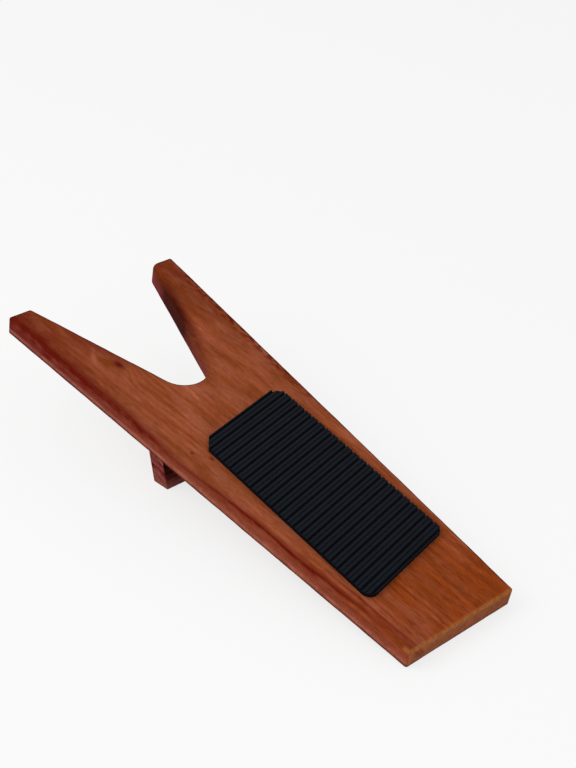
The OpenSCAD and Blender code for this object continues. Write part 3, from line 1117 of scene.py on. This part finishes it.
def new_finish(name, **constants):
    """An empty material whose shader has these plain values."""
    material = bpy.data.materials.new(name)
    material.use_nodes = True
    tree = material.node_tree
    tree.nodes.clear()
    shader = tree.nodes.new("ShaderNodeBsdfPrincipled")
    for label, value in constants.items():
        shader.inputs[label.replace("_", " ")].default_value = value
    output = tree.nodes.new("ShaderNodeOutputMaterial")
    tree.links.new(shader.outputs[0], output.inputs["Surface"])
    return material, tree, shader


def finish_with(tree, shader, tint, roughness, height, depth):
    """Links a colour, a roughness and a relief, whose depth is in metres, to a shader."""
    join(tree, tint, shader.inputs["Base Color"])
    join(tree, roughness, shader.inputs["Roughness"])
    bump = shader_node(tree, "ShaderNodeBump", {"Strength": 1.0, "Distance": depth, "Height": height})
    join(tree, bump.outputs[0], shader.inputs["Normal"])


def object_place(tree, frame_matrix=None):
    """The place on the object in millimetres, in the frame of a matrix, and the surface's own direction."""
    coordinates = tree.nodes.new("ShaderNodeTexCoord")
    place = coordinates.outputs["Object"]
    if frame_matrix is not None:
        spot, turn, _ = frame_matrix.decompose()
        inputs = {"Vector": place, "Location": spot, "Rotation": turn.to_euler()}
        place = shader_node(tree, "ShaderNodeMapping", inputs, vector_type="TEXTURE").outputs[0]
    scaled = shader_node(tree, "ShaderNodeVectorMath", {0: place, "Scale": 1 / MM}, operation="SCALE")
    return scaled.outputs[0], coordinates.outputs["Normal"]


class BoardSpot:
    """Where a point of the board lies, in millimetres: along from the prong tips, across from the centre
    line, up from the underside and in from each side. Also which way its surface faces, and the patterns of
    its wood there."""

    def __init__(self, tree, board, axes):
        self.place, facing = object_place(tree, axes)
        x, self.y, self.z = components(tree, self.place)
        self.station = x + board.board_length / MM
        half = board.prong_width / 2 / MM - self.station * taper_of(board)
        self.from_left, self.from_right = self.y + half, half - self.y
        self.height = self.z / (board.thickness / MM)
        self.over_left = self.from_left - (board.thickness / MM - self.z) * OVER_ARRIS
        along = dot(tree, facing, axes.to_3x3() @ Vector((1, 0, 0)))
        sideways = dot(tree, facing, (0, 1, 0))
        self.end_face = (along * along).step(0.35, 0.8)
        self.side_face = (sideways * sideways).step(0.4, 0.85)
        self.notch_wall = self.side_face * (self.y * sideways * -1.0).step(3.0, 12.0)
        self.arris, self.from_notch = stored(tree, "arris"), stored(tree, "notch")
        off, below = BOARD_PITH
        across = self.y - self.station * BOARD_PITH_SLANT - off
        pith = vector(tree, self.station, across, self.z + below)
        bend = in_mark(self.station, self.y, KNOT_BEND) * KNOT_BULGE
        wood = sawn_wood(tree, pith, BOARD_RING_WIDTH, bend)
        self.ring, self.fibre, self.pore, self.cloud, self.relief = wood
        self.patch, self.speck, self.scuff = handled(tree, self.place, BOARD_PATCHES)
        self.blotch = noise(tree, self.place, BLOTCHES, detail=4.0, rough=0.65, layer=11.0)


def in_mark(station, y, mark):
    """1 in the middle of a mark on the board and 0 away from it."""
    along, across = mark
    return station.hump(*along) * y.hump(*across)


def plain_board(tree, board, spot):
    """The stained wood by itself: a ground that darkens to the tips and warms to the tail, with drifts of
    pinker and browner wood, soft growth rings that show in places, and fine fibres."""
    tips, tail = spot.station.drop(*DARK_TIPS), spot.station.step(*WARM_TAIL)
    tint = mix(tree, tips * 0.85, linear(board.stain), linear(board.stain_tips))
    tint = mix(tree, tail, tint, linear(board.stain_tail))
    pink = noise(tree, spot.place, PINK_DRIFTS, detail=5.0, rough=0.62, layer=3.0).step(0.44, 0.64)
    brown = noise(tree, spot.place, BROWN_DRIFTS, detail=5.0, rough=0.62, layer=7.0).step(0.44, 0.64)
    pink_corner = tail * spot.from_left.hump(10.0, 8.0) * 0.3
    tint = mix(tree, pink * (0.6 - tail * 0.25 - tips * 0.22) + pink_corner, tint, linear(board.pink))
    tint = mix(tree, brown * 0.6 + spot.from_right.drop(8.0, 55.0) * 0.18, tint, linear(board.brown))
    tint = brighter(tree, tint, spot.cloud * 1.0 + spot.blotch * 0.5 + 0.28)
    shown = spot.cloud.step(0.34, 0.62)
    dark_ring = spot.ring * shown * (0.20 + spot.from_left.drop(30.0, 80.0) * 0.14 + tail * 0.22)
    tint = mix(tree, dark_ring, tint, linear(board.latewood))
    grain = noise(tree, spot.place, COARSE_GRAIN, detail=3.0, rough=0.7, layer=19.0)
    tint = brighter(tree, tint, spot.fibre * 0.40 + grain * 0.65 + 0.485)
    dashes = noise(tree, spot.place, DARK_DASHES, detail=2.0, layer=5.0).step(0.54, 0.70)
    tint = mix(tree, dashes * (tail * 0.34 + 0.10), tint, linear(board.heartwood))
    return mix(tree, spot.pore * (0.16 + tail * 0.12), tint, linear(board.dark))


def board_faces(tree, board, spot, tint):
    """The sides, pinker and redder towards the prong tips, low down partly a painted reflection of the pale
    floor, and the end grain of the tail and the tips.
    """
    grit = noise(tree, spot.place, GRIT, detail=3.0, rough=0.65, layer=17.0)
    uneven = spot.blotch.step(0.34, 0.66) * 0.3 + spot.patch * 0.4 + grit * 1.4 - 0.06
    sides = mix(tree, spot.station.drop(*DARK_SIDES) * 0.9, linear(board.side), linear(board.side_tips))
    reddened = spot.height.step(0.45, 0.95) * spot.blotch.step(0.38, 0.6) * 0.5
    sides = brighter(tree, mix(tree, reddened, sides, linear(board.heartwood)), uneven)
    # The lower part of each side takes the side colour: partly the wood's own tone, partly a painted
    # reflection of the pale floor.
    tint = mix(tree, spot.side_face * spot.height.drop(0.55, 1.0) * 0.8, tint, sides)
    ends = mix(tree, spot.ring * 0.15, linear(board.end_grain), linear(board.latewood))
    return mix(tree, spot.end_face * 0.75, tint, brighter(tree, ends, uneven))


def left_streak(tree, board, spot, tint, ragged):
    """Red heartwood that wanders along the left edge, over its arris, with a second line beside it near the
    tail, and blotches the left prong."""
    station, blotch = spot.station, spot.blotch
    drift = noise(tree, vector(tree, station, 0.0, 0.0), STREAK_DRIFT, detail=3.0)
    bulge = station.hump(*STREAK_BULGE) * 2.0
    streak_at = 0.6 + (drift - 0.5) * 3.0 - bulge + station.step(*STREAK_MOVES) * 2.8
    behind = station.step(*STREAK_BEGINS)
    streak_width = (0.35 + blotch * 1.3) * (3.5 - behind * 0.9)
    off_streak = spot.over_left + ragged * (1.2 - behind * 0.8) - streak_at
    core = off_streak.hump(0.0, 1.0) * behind * 0.35
    streak = (off_streak / streak_width).hump(0.0, 1.0) * (blotch * 1.2 + 0.35 - behind * 0.25) + core
    second = spot.over_left.hump(6.4, 0.8) * station.step(*SECOND_STREAK) * 0.45
    fading = 0.92 - station.hump(*STREAK_PALE) * 0.35 - station.step(*STREAK_FADES) * 0.4
    reddened = (streak * fading + second) * spot.height.step(0.1, 0.5)
    tint = mix(tree, reddened, tint, linear(board.heartwood))
    blush = spot.from_left.drop(1.0, 17.0) * station.drop(*BLUSH_ENDS) * blotch.step(0.38, 0.62)
    return mix(tree, blush * 0.8, tint, linear(board.heartwood))


def board_marks(tree, board, spot, tint):
    """The red streak on the left, darker colour along the notch, red flecks on the right prong, the knot
    with a pale curl before it and a brown smear between, and two pin knots."""
    station, y, patch, blotch = spot.station, spot.y, spot.patch, spot.blotch
    ragged = (blotch - 0.5) * RAGGEDNESS
    tint = left_streak(tree, board, spot, tint, ragged)
    on_right = y.step(-5.0, 5.0)
    beside = spot.from_notch.drop(0.02, 0.75) * (blotch * 0.7 + patch * 0.5).step(0.38, 0.66)
    red_left = (1.0 - on_right) * station.hump(*RED_NOTCH_LEFT) * 0.8
    red = beside * (on_right * station.hump(*RED_NOTCH_RIGHT) + red_left)
    tint = mix(tree, red * (0.85 - spot.notch_wall * 0.6), tint, linear(board.heartwood))
    # Darker colour along the notch on the right prong's face and on the notch walls, in patches.
    near_notch = (spot.from_notch + ragged * 0.07).drop(0.0, 0.60)
    notch_darkening = on_right * near_notch * station.hump(*DARK_NOTCH_FACE)
    low_wall = spot.height.step(0.1, 0.9) * 0.45 + 0.3
    wall_darkening = spot.notch_wall * station.hump(*DARK_NOTCH_WALL) * (low_wall + patch * 0.8)
    notch_darkening = notch_darkening * (0.45 + patch) + wall_darkening
    flecks = noise(tree, spot.place, FLECKS, detail=3.0, layer=13.0).step(0.44, 0.58)
    flecks = flecks * spot.from_right.drop(1.0, 9.0)
    flecks = flecks * station.step(*FLECKS_BEGIN) * station.drop(*FLECKS_END)
    tint = mix(tree, flecks * 0.9, tint, linear(board.heartwood))
    smear = in_mark(station, y, KNOT_SMEAR) * (0.5 + patch)
    tint = mix(tree, smear.do("MINIMUM", 0.8), tint, linear(board.brown))
    past_curl = station - CURL_STATION
    bent = past_curl * past_curl * CURL_BEND
    curl_at = y + CURL_FROM_MIDDLE + past_curl * CURL_SLOPE - bent + ragged * 0.3
    tint = mix(tree, past_curl.hump(0.0, 6.5) * curl_at.hump(0.0, 1.8) * 0.9, tint, linear(board.pink))
    knot = in_mark(station + ragged, y + ragged * 0.8, KNOT)
    tint = mix(tree, knot * 0.95, tint, linear(board.heartwood))
    pins = in_mark(station, y, SMALL_PIN_KNOT) + in_mark(station, y, LARGE_PIN_KNOT)
    return mix(tree, (knot * 0.3 + pins * 0.7 + notch_darkening).do("MINIMUM", 0.88), tint, linear(board.dark))


def board_wear(tree, board, spot, tint):
    """Darker colour along the arrises, a painted highlight along the top edge of the tail, a pale pink line
    along the lower edge of the left side, and stain rubbed off stretches of the right edge beside the pad."""
    station, height, patch = spot.station, spot.height, spot.patch
    near = spot.arris + (patch - 0.5) * 0.14
    at_tail, low = station.step(*TAIL_HIGHLIGHT), height.drop(0.12, 0.28)
    left = spot.from_left.drop(1.5, 4.0)
    upper = height.step(0.4, 0.6)
    notch_top = upper * spot.from_notch.drop(0.1, 0.4) * spot.y.step(0.0, 8.0)
    # Darker colour along the arrises, less at the top of the notch and none on the tail's top edge or along
    # the left edge above its foot.
    dark_arris = (near - low * 0.06).drop(0.09, 0.32) * (1.0 - notch_top * 0.75)
    dark_arris = dark_arris * (1.0 - at_tail * upper) * (1.0 - left * (1.0 - low))
    mottled = (spot.blotch * 0.6 + spot.speck * 0.5).step(0.44, 0.66)
    # A pale pink line along the lower edge of the left side, in patches.
    foot_line = height.hump(0.29, 0.10) * left * spot.side_face * (0.15 + mottled * 0.5)
    tint = mix(tree, foot_line, tint, linear(board.rubbed_pink))
    beside_pad = spot.from_right.drop(1.5, 4.5) * station.step(*RUBBED_BEGINS) * station.drop(*RUBBED_ENDS)
    rubbed = beside_pad * mottled * near.drop(0.15, 0.6) * 0.6
    tint = mix(tree, rubbed, tint, linear(board.rubbed_pink))
    tint = mix(tree, dark_arris * 0.85, tint, linear(board.dark))
    # Painted highlight along the tail's top arris, broken up in patches.
    tail_highlight = near.drop(0.10, 0.42) * at_tail * height.step(0.5, 0.8) * (0.30 + mottled * 0.5)
    return mix(tree, tail_highlight, tint, linear(board.worn))


def board_finish(scene):
    """Stained wood in the board's own frame. The pith lies under the board, off to the right, so the rings
    cross the left of the face closely and the right of it broadly."""
    board = scene.jack_board
    material, tree, shader = new_finish("stained board", IOR=1.04)
    spot = BoardSpot(tree, board, board_axes(scene))
    tint = plain_board(tree, board, spot)
    for layer in (board_faces, board_marks, board_wear):
        tint = layer(tree, board, spot, tint)
    roughness = 0.46 + spot.patch * 0.12 + spot.pore * 0.12 + spot.scuff * 0.06
    finish_with(tree, shader, tint, roughness, spot.relief - spot.scuff * 0.25, WOOD_RELIEF)
    return material


def riser_finish(scene):
    """Stained wood with its grain along the block. The rings cross both ends as streaks that fall towards
    the tail. The board's shadow is painted dark on the tail-side face in the corner under the board, and
    just below the board's edge on the ends."""
    riser = scene.jack_riser
    material, tree, shader = new_finish("stained riser", IOR=1.04)
    place, facing = object_place(tree)
    x, y, z = components(tree, place)
    middle = (RISER_LOW.x + RISER_HIGH.x) / 2 / MM
    off, below = RISER_PITH
    pith = vector(tree, y, x - middle + off, z + below)
    ring, fibre, pore, cloud, relief = sawn_wood(tree, pith, RISER_RING_WIDTH)
    patch, speck, scuff = handled(tree, place, RISER_PATCHES)
    tint = brighter(tree, linear(riser.stain), patch * 0.9 + 0.5)
    sideways = dot(tree, facing, (0, 1, 0))
    end_face = (sideways * sideways).step(0.5, 0.9)
    falling = vector(tree, y, x + z * STREAK_FALL, z - x * STREAK_LEAN)
    streaks = noise(tree, falling, RISER_STREAKS, detail=4.0, rough=0.6)
    tint = mix(tree, streaks.step(0.46, 0.66) * 0.7, tint, linear(riser.pale))
    dark_rings = ring * (patch * 1.1 - 0.05) + streaks.drop(0.34, 0.54) * 0.9
    tint = mix(tree, dark_rings, tint, linear(riser.latewood))
    tint = brighter(tree, tint, fibre * 0.4 + cloud * 0.3 + 0.61)
    tint = mix(tree, pore * 0.3, tint, linear(riser.latewood))
    # Painted shadow of the board: dark on the tail-side face in the corner under the board, and a thin band
    # on the ends just below its edge.
    below_board = riser.height / MM - (x - middle) * (riser.height / riser.reach) - z
    corner = below_board.drop(12.0, 36.0) * dot(tree, facing, (1, 0, 0)).step(0.3, 0.8)
    painted_shadow_share = corner * 0.95 + below_board.drop(0.5, 5.0) * end_face * 0.5
    tint = mix(tree, painted_shadow_share, tint, linear(riser.painted_shadow))
    foot = z.drop(0.6, 7.0) * (patch * 0.7 + speck * 0.4)
    tint = mix(tree, foot.do("MINIMUM", 0.8), tint, linear(riser.scuffed))
    roughness = 0.5 + patch * 0.14 + end_face * 0.1
    finish_with(tree, shader, tint, roughness, relief - scuff * 0.2 + speck * 0.1, WOOD_RELIEF)
    return material


def rubber_finish(scene):
    """Moulded rubber: near black in the grooves, greyer on the crests, more so in patches."""
    pad = scene.jack_pad
    material, tree, shader = new_finish("ribbed rubber", Specular_IOR_Level=0.04)
    place, _ = object_place(tree, board_axes(scene))
    crest = stored(tree, "crest")
    patch, speck, scuff = handled(tree, place, PAD_PATCHES)
    # The crests turn greyer, more so in patches and scuffs.
    rubbed = crest.step(0.6, 1.0) * (0.35 + patch * 0.5) + scuff * crest * 0.15
    tint = mix(tree, rubbed, linear(pad.rubber), linear(pad.worn))
    tint = brighter(tree, tint, speck * 0.9 + patch * 0.3 + 0.4)
    roughness = 0.62 + patch * 0.16 - rubbed * 0.08
    finish_with(tree, shader, tint, roughness, speck * 0.6 + patch * 0.3, RUBBER_RELIEF)
    return material


def adhesive_finish(scene):
    """The bonding film: a waxy tan, darker where dirt has crept in at its edge."""
    pad = scene.jack_pad
    material, tree, shader = new_finish("adhesive film", Specular_IOR_Level=0.3)
    place, _ = object_place(tree, board_axes(scene))
    patch, speck, scuff = handled(tree, place, FILM_PATCHES)
    dirt = (patch * 0.7 + speck * 0.4).step(0.35, 0.75)
    tint = mix(tree, dirt * 0.7, linear(pad.adhesive), linear(pad.film_dirt))
    finish_with(tree, shader, tint, 0.45 + patch * 0.2, speck + scuff * 0.5, FILM_RELIEF)
    return material


def steel_finish(scene):
    """Zinc-plated steel with fine turning marks round the screw and dull patches."""
    screws = scene.jack_screws
    material, tree, shader = new_finish("zinc plate", Specular_IOR_Level=0.5)
    place, _ = object_place(tree)
    _, _, z = components(tree, place)
    patch, speck, scuff = handled(tree, place, STEEL_PATCHES)
    rings = noise(tree, vector(tree, 0.0, 0.0, z), TURNING_MARKS, detail=2.0)
    dull = (patch * 0.8 + rings * 0.3).step(0.45, 0.75)
    tint = mix(tree, dull * 0.6, linear(screws.zinc), linear(screws.tarnish))
    join(tree, 1.0 - dull * 0.25, shader.inputs["Metallic"])
    finish_with(tree, shader, tint, 0.26 + dull * 0.25 + scuff * 0.1, rings + speck * 0.3, STEEL_RELIEF)
    return material


class MakeBoard(bpy.types.Operator):
    """Make the stained foot board with its heel notch, eased edges and screw holes"""

    bl_idname = "boot_jack.board"
    bl_label = "Foot board"

    def execute(self, context):
        scene = context.scene
        board, axes = scene.jack_board, board_axes(scene)
        sheets = board_sheets(board, 1) + board_sheets(board, -1)
        mesh = sheets_mesh("board_wood", [carry(axes, sheet) for sheet in sheets])
        mesh = cut(mesh, [hole_cutter(scene.jack_screws, side) for side in (1, -1)])
        points = carry(axes.inverted(), vertex_points(mesh))
        set_attribute(mesh, "arris", arris_distance(board, points))
        clearance = np.abs(Notch(board).clearance(points[:, :2]))
        set_attribute(mesh, "notch", np.clip(clearance / NOTCH_REACH, 0.0, 1.0))
        new_piece("foot_board", mesh, board_finish(scene), "board")
        return {"FINISHED"}


class MakeRiser(bpy.types.Operator):
    """Make the stained riser block with its leaning ends and screw holes"""

    bl_idname = "boot_jack.riser"
    bl_label = "Riser"

    def execute(self, context):
        scene = context.scene
        mesh = riser_mesh(scene.jack_board, scene.jack_riser, scene.jack_screws)
        new_piece("riser_prop", mesh, riser_finish(scene), "riser_block")
        return {"FINISHED"}


class MakePad(bpy.types.Operator):
    """Make the ribbed rubber pad and finish the film that bonds it to the board"""

    bl_idname = "boot_jack.pad"
    bl_label = "Tread pad"

    def execute(self, context):
        scene = context.scene
        pad, axes = scene.jack_pad, board_axes(scene)
        base = scene.jack_board.thickness + pad.film
        mesh = pad_mesh(pad, base)
        points = vertex_points(mesh)
        set_attribute(mesh, "crest", np.clip((points[:, 2] - base) / pad.thickness, 0.0, 1.0))
        mesh.transform(axes)
        new_piece("ribbed_pad", mesh, rubber_finish(scene), "tread_pad")
        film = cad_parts["pad_adhesive"]
        film.data.materials.clear()
        film.data.materials.append(adhesive_finish(scene))
        return {"FINISHED"}


class MakeScrews(bpy.types.Operator):
    """Make the two countersunk wood screws that hold the riser to the board"""

    bl_idname = "boot_jack.screws"
    bl_label = "Screws"

    def execute(self, context):
        screws = context.scene.jack_screws
        steel = steel_finish(context.scene)
        for name, side in (("right", 1), ("left", -1)):
            mesh = screw_mesh(screws, side)
            piece = f"{name}_wood_screw"
            new_piece(piece, mesh, steel, f"{name}_screw", SCREW_SHARP_ANGLE)
        return {"FINISHED"}


def soft_lamp(name, place, aim, size, power, tint):
    """A large square lamp at a place, turned to face a point."""
    lamp = bpy.data.lights.new(name, "AREA")
    lamp.shape, lamp.size, lamp.energy, lamp.color = "SQUARE", size, power, tint
    holder = bpy.data.objects.new(name, lamp)
    holder.location = place
    holder.rotation_euler = (Vector(aim) - Vector(place)).to_track_quat("-Z", "Y").to_euler()
    holder.visible_camera = False
    bpy.context.scene.collection.objects.link(holder)


def studio_world(stage):
    """Even light from all round, which the camera and mirror-like surfaces see as white."""
    world = bpy.data.worlds.new("studio")
    world.use_nodes = True
    tree = world.node_tree
    tree.nodes.clear()
    path = tree.nodes.new("ShaderNodeLightPath")
    seen = Amount(tree, path.outputs["Is Camera Ray"])
    for label in ("Is Glossy Ray", "Is Transmission Ray"):
        seen = seen.do("MAXIMUM", Amount(tree, path.outputs[label]))
    level = stage.sky + seen * (1.0 - stage.sky)
    glow = shader_node(tree, "ShaderNodeBackground", {"Color": WHITE, "Strength": level})
    output = tree.nodes.new("ShaderNodeOutputWorld")
    tree.links.new(glow.outputs[0], output.inputs[0])
    return world


def floor_finish(stage):
    """Pale matt floor with a faint mottle, lifted towards white for the camera, so that its shadow stays
    soft, and clear from below, so that the underside can be seen."""
    material, tree, shader = new_finish("pale floor", Specular_IOR_Level=0.0, Roughness=0.9)
    place, _ = object_place(tree)
    patch = handled(tree, place, FLOOR_PATCHES)[0]
    join(tree, brighter(tree, linear(stage.floor), patch * 0.02 + 0.99), shader.inputs["Base Color"])
    glow = shader_node(tree, "ShaderNodeEmission", {"Color": WHITE, "Strength": 1.0})
    path = tree.nodes.new("ShaderNodeLightPath")
    seen = Amount(tree, path.outputs["Is Camera Ray"]) * stage.floor_glow
    pale = shader_node(tree, "ShaderNodeMixShader", {0: seen, 1: shader.outputs[0], 2: glow.outputs[0]})
    below = tree.nodes.new("ShaderNodeNewGeometry").outputs["Backfacing"]
    clear = tree.nodes.new("ShaderNodeBsdfTransparent")
    one_sided = shader_node(tree, "ShaderNodeMixShader", {0: below, 1: pale.outputs[0], 2: clear.outputs[0]})
    output = next(node for node in tree.nodes if node.type == "OUTPUT_MATERIAL")
    tree.links.new(one_sided.outputs[0], output.inputs["Surface"])
    return material


def new_floor(stage):
    """The floor just under the jack: a flat grid as wide as FLOOR_REACH each way."""
    ends = np.array([FLOOR_REACH, 0.0, 0.0])
    across = line(-ends, ends, FLOOR_POINTS)
    along = across[:, [1, 0, 2]]
    grid = across[:, None] + along[None] - np.array([0.0, 0.0, FLOOR_GAP])
    floor = bpy.data.objects.new("floor", sheets_mesh("floor", [grid]))
    if floor.data.polygons[0].normal.z < 0:
        floor.data.flip_normals()
    floor.data.materials.append(floor_finish(stage))
    bpy.context.scene.collection.objects.link(floor)


def new_camera(stage):
    """The camera at its place, turned to its view, with the given direction on its right."""
    lens = bpy.data.cameras.new("camera")
    lens.sensor_fit = "AUTO"
    lens.sensor_width = SENSOR_WIDTH
    lens.lens = stage.lens
    lens.clip_start, lens.clip_end = CAMERA_CLIP
    back = -Vector(stage.camera_view).normalized()
    right = Vector(stage.camera_right)
    right = (right - right.project(back)).normalized()
    turn = Matrix((right, back.cross(right), back)).transposed().to_4x4()
    camera = bpy.data.objects.new("camera", lens)
    camera.matrix_world = Matrix.Translation(stage.camera_place) @ turn
    bpy.context.scene.collection.objects.link(camera)
    return camera


class MakeStage(bpy.types.Operator):
    """Make the camera, the soft lamps and the pale floor"""

    bl_idname = "boot_jack.stage"
    bl_label = "Stage"

    def execute(self, context):
        scene = context.scene
        stage = scene.jack_stage
        new_floor(stage)
        for name, place, size, power, tint in (
            ("key lamp", stage.key_place, stage.key_size, stage.key_power, KEY_TINT),
            ("fill lamp", stage.fill_place, stage.fill_size, stage.fill_power, FILL_TINT),
        ):
            soft_lamp(name, place, stage.lamp_aim, size, power, tint)
        scene.world = studio_world(stage)
        scene.view_settings.view_transform = "Standard"
        scene.camera = new_camera(stage)
        return {"FINISHED"}


class BootJackPanel(bpy.types.Panel):
    """Lists the boot jack's pieces and their settings"""

    bl_idname = "VIEW3D_PT_boot_jack"
    bl_label = "Boot jack"
    bl_space_type = "VIEW_3D"
    bl_region_type = "UI"
    bl_category = "Boot jack"

    def draw(self, context):
        for operator, settings in PIECES:
            box = self.layout.box()
            box.operator(operator.bl_idname)
            group = getattr(context.scene, settings)
            for name in group.bl_rna.properties.keys():
                if name not in ("rna_type", "name"):
                    box.prop(group, name)


SETTINGS = {
    "jack_board": BoardSettings,
    "jack_riser": RiserSettings,
    "jack_pad": PadSettings,
    "jack_screws": ScrewSettings,
    "jack_stage": StageSettings,
}
PIECES = [
    (MakeBoard, "jack_board"),
    (MakeRiser, "jack_riser"),
    (MakePad, "jack_pad"),
    (MakeScrews, "jack_screws"),
    (MakeStage, "jack_stage"),
]
CLASSES = [*SETTINGS.values(), *(operator for operator, _ in PIECES), BootJackPanel]


def register():
    """Adds the settings, the operators and the panel."""
    for item in CLASSES:
        bpy.utils.register_class(item)
    for name, settings in SETTINGS.items():
        setattr(bpy.types.Scene, name, PointerProperty(type=settings))


def unregister():
    """Takes them away again."""
    for name in SETTINGS:
        delattr(bpy.types.Scene, name)
    for item in reversed(CLASSES):
        bpy.utils.unregister_class(item)


def main():
    """Makes every piece."""
    register()
    bpy.ops.boot_jack.stage()
    bpy.ops.boot_jack.board()
    bpy.ops.boot_jack.riser()
    bpy.ops.boot_jack.pad()
    bpy.ops.boot_jack.screws()


if __name__ == "__main__":
    main()
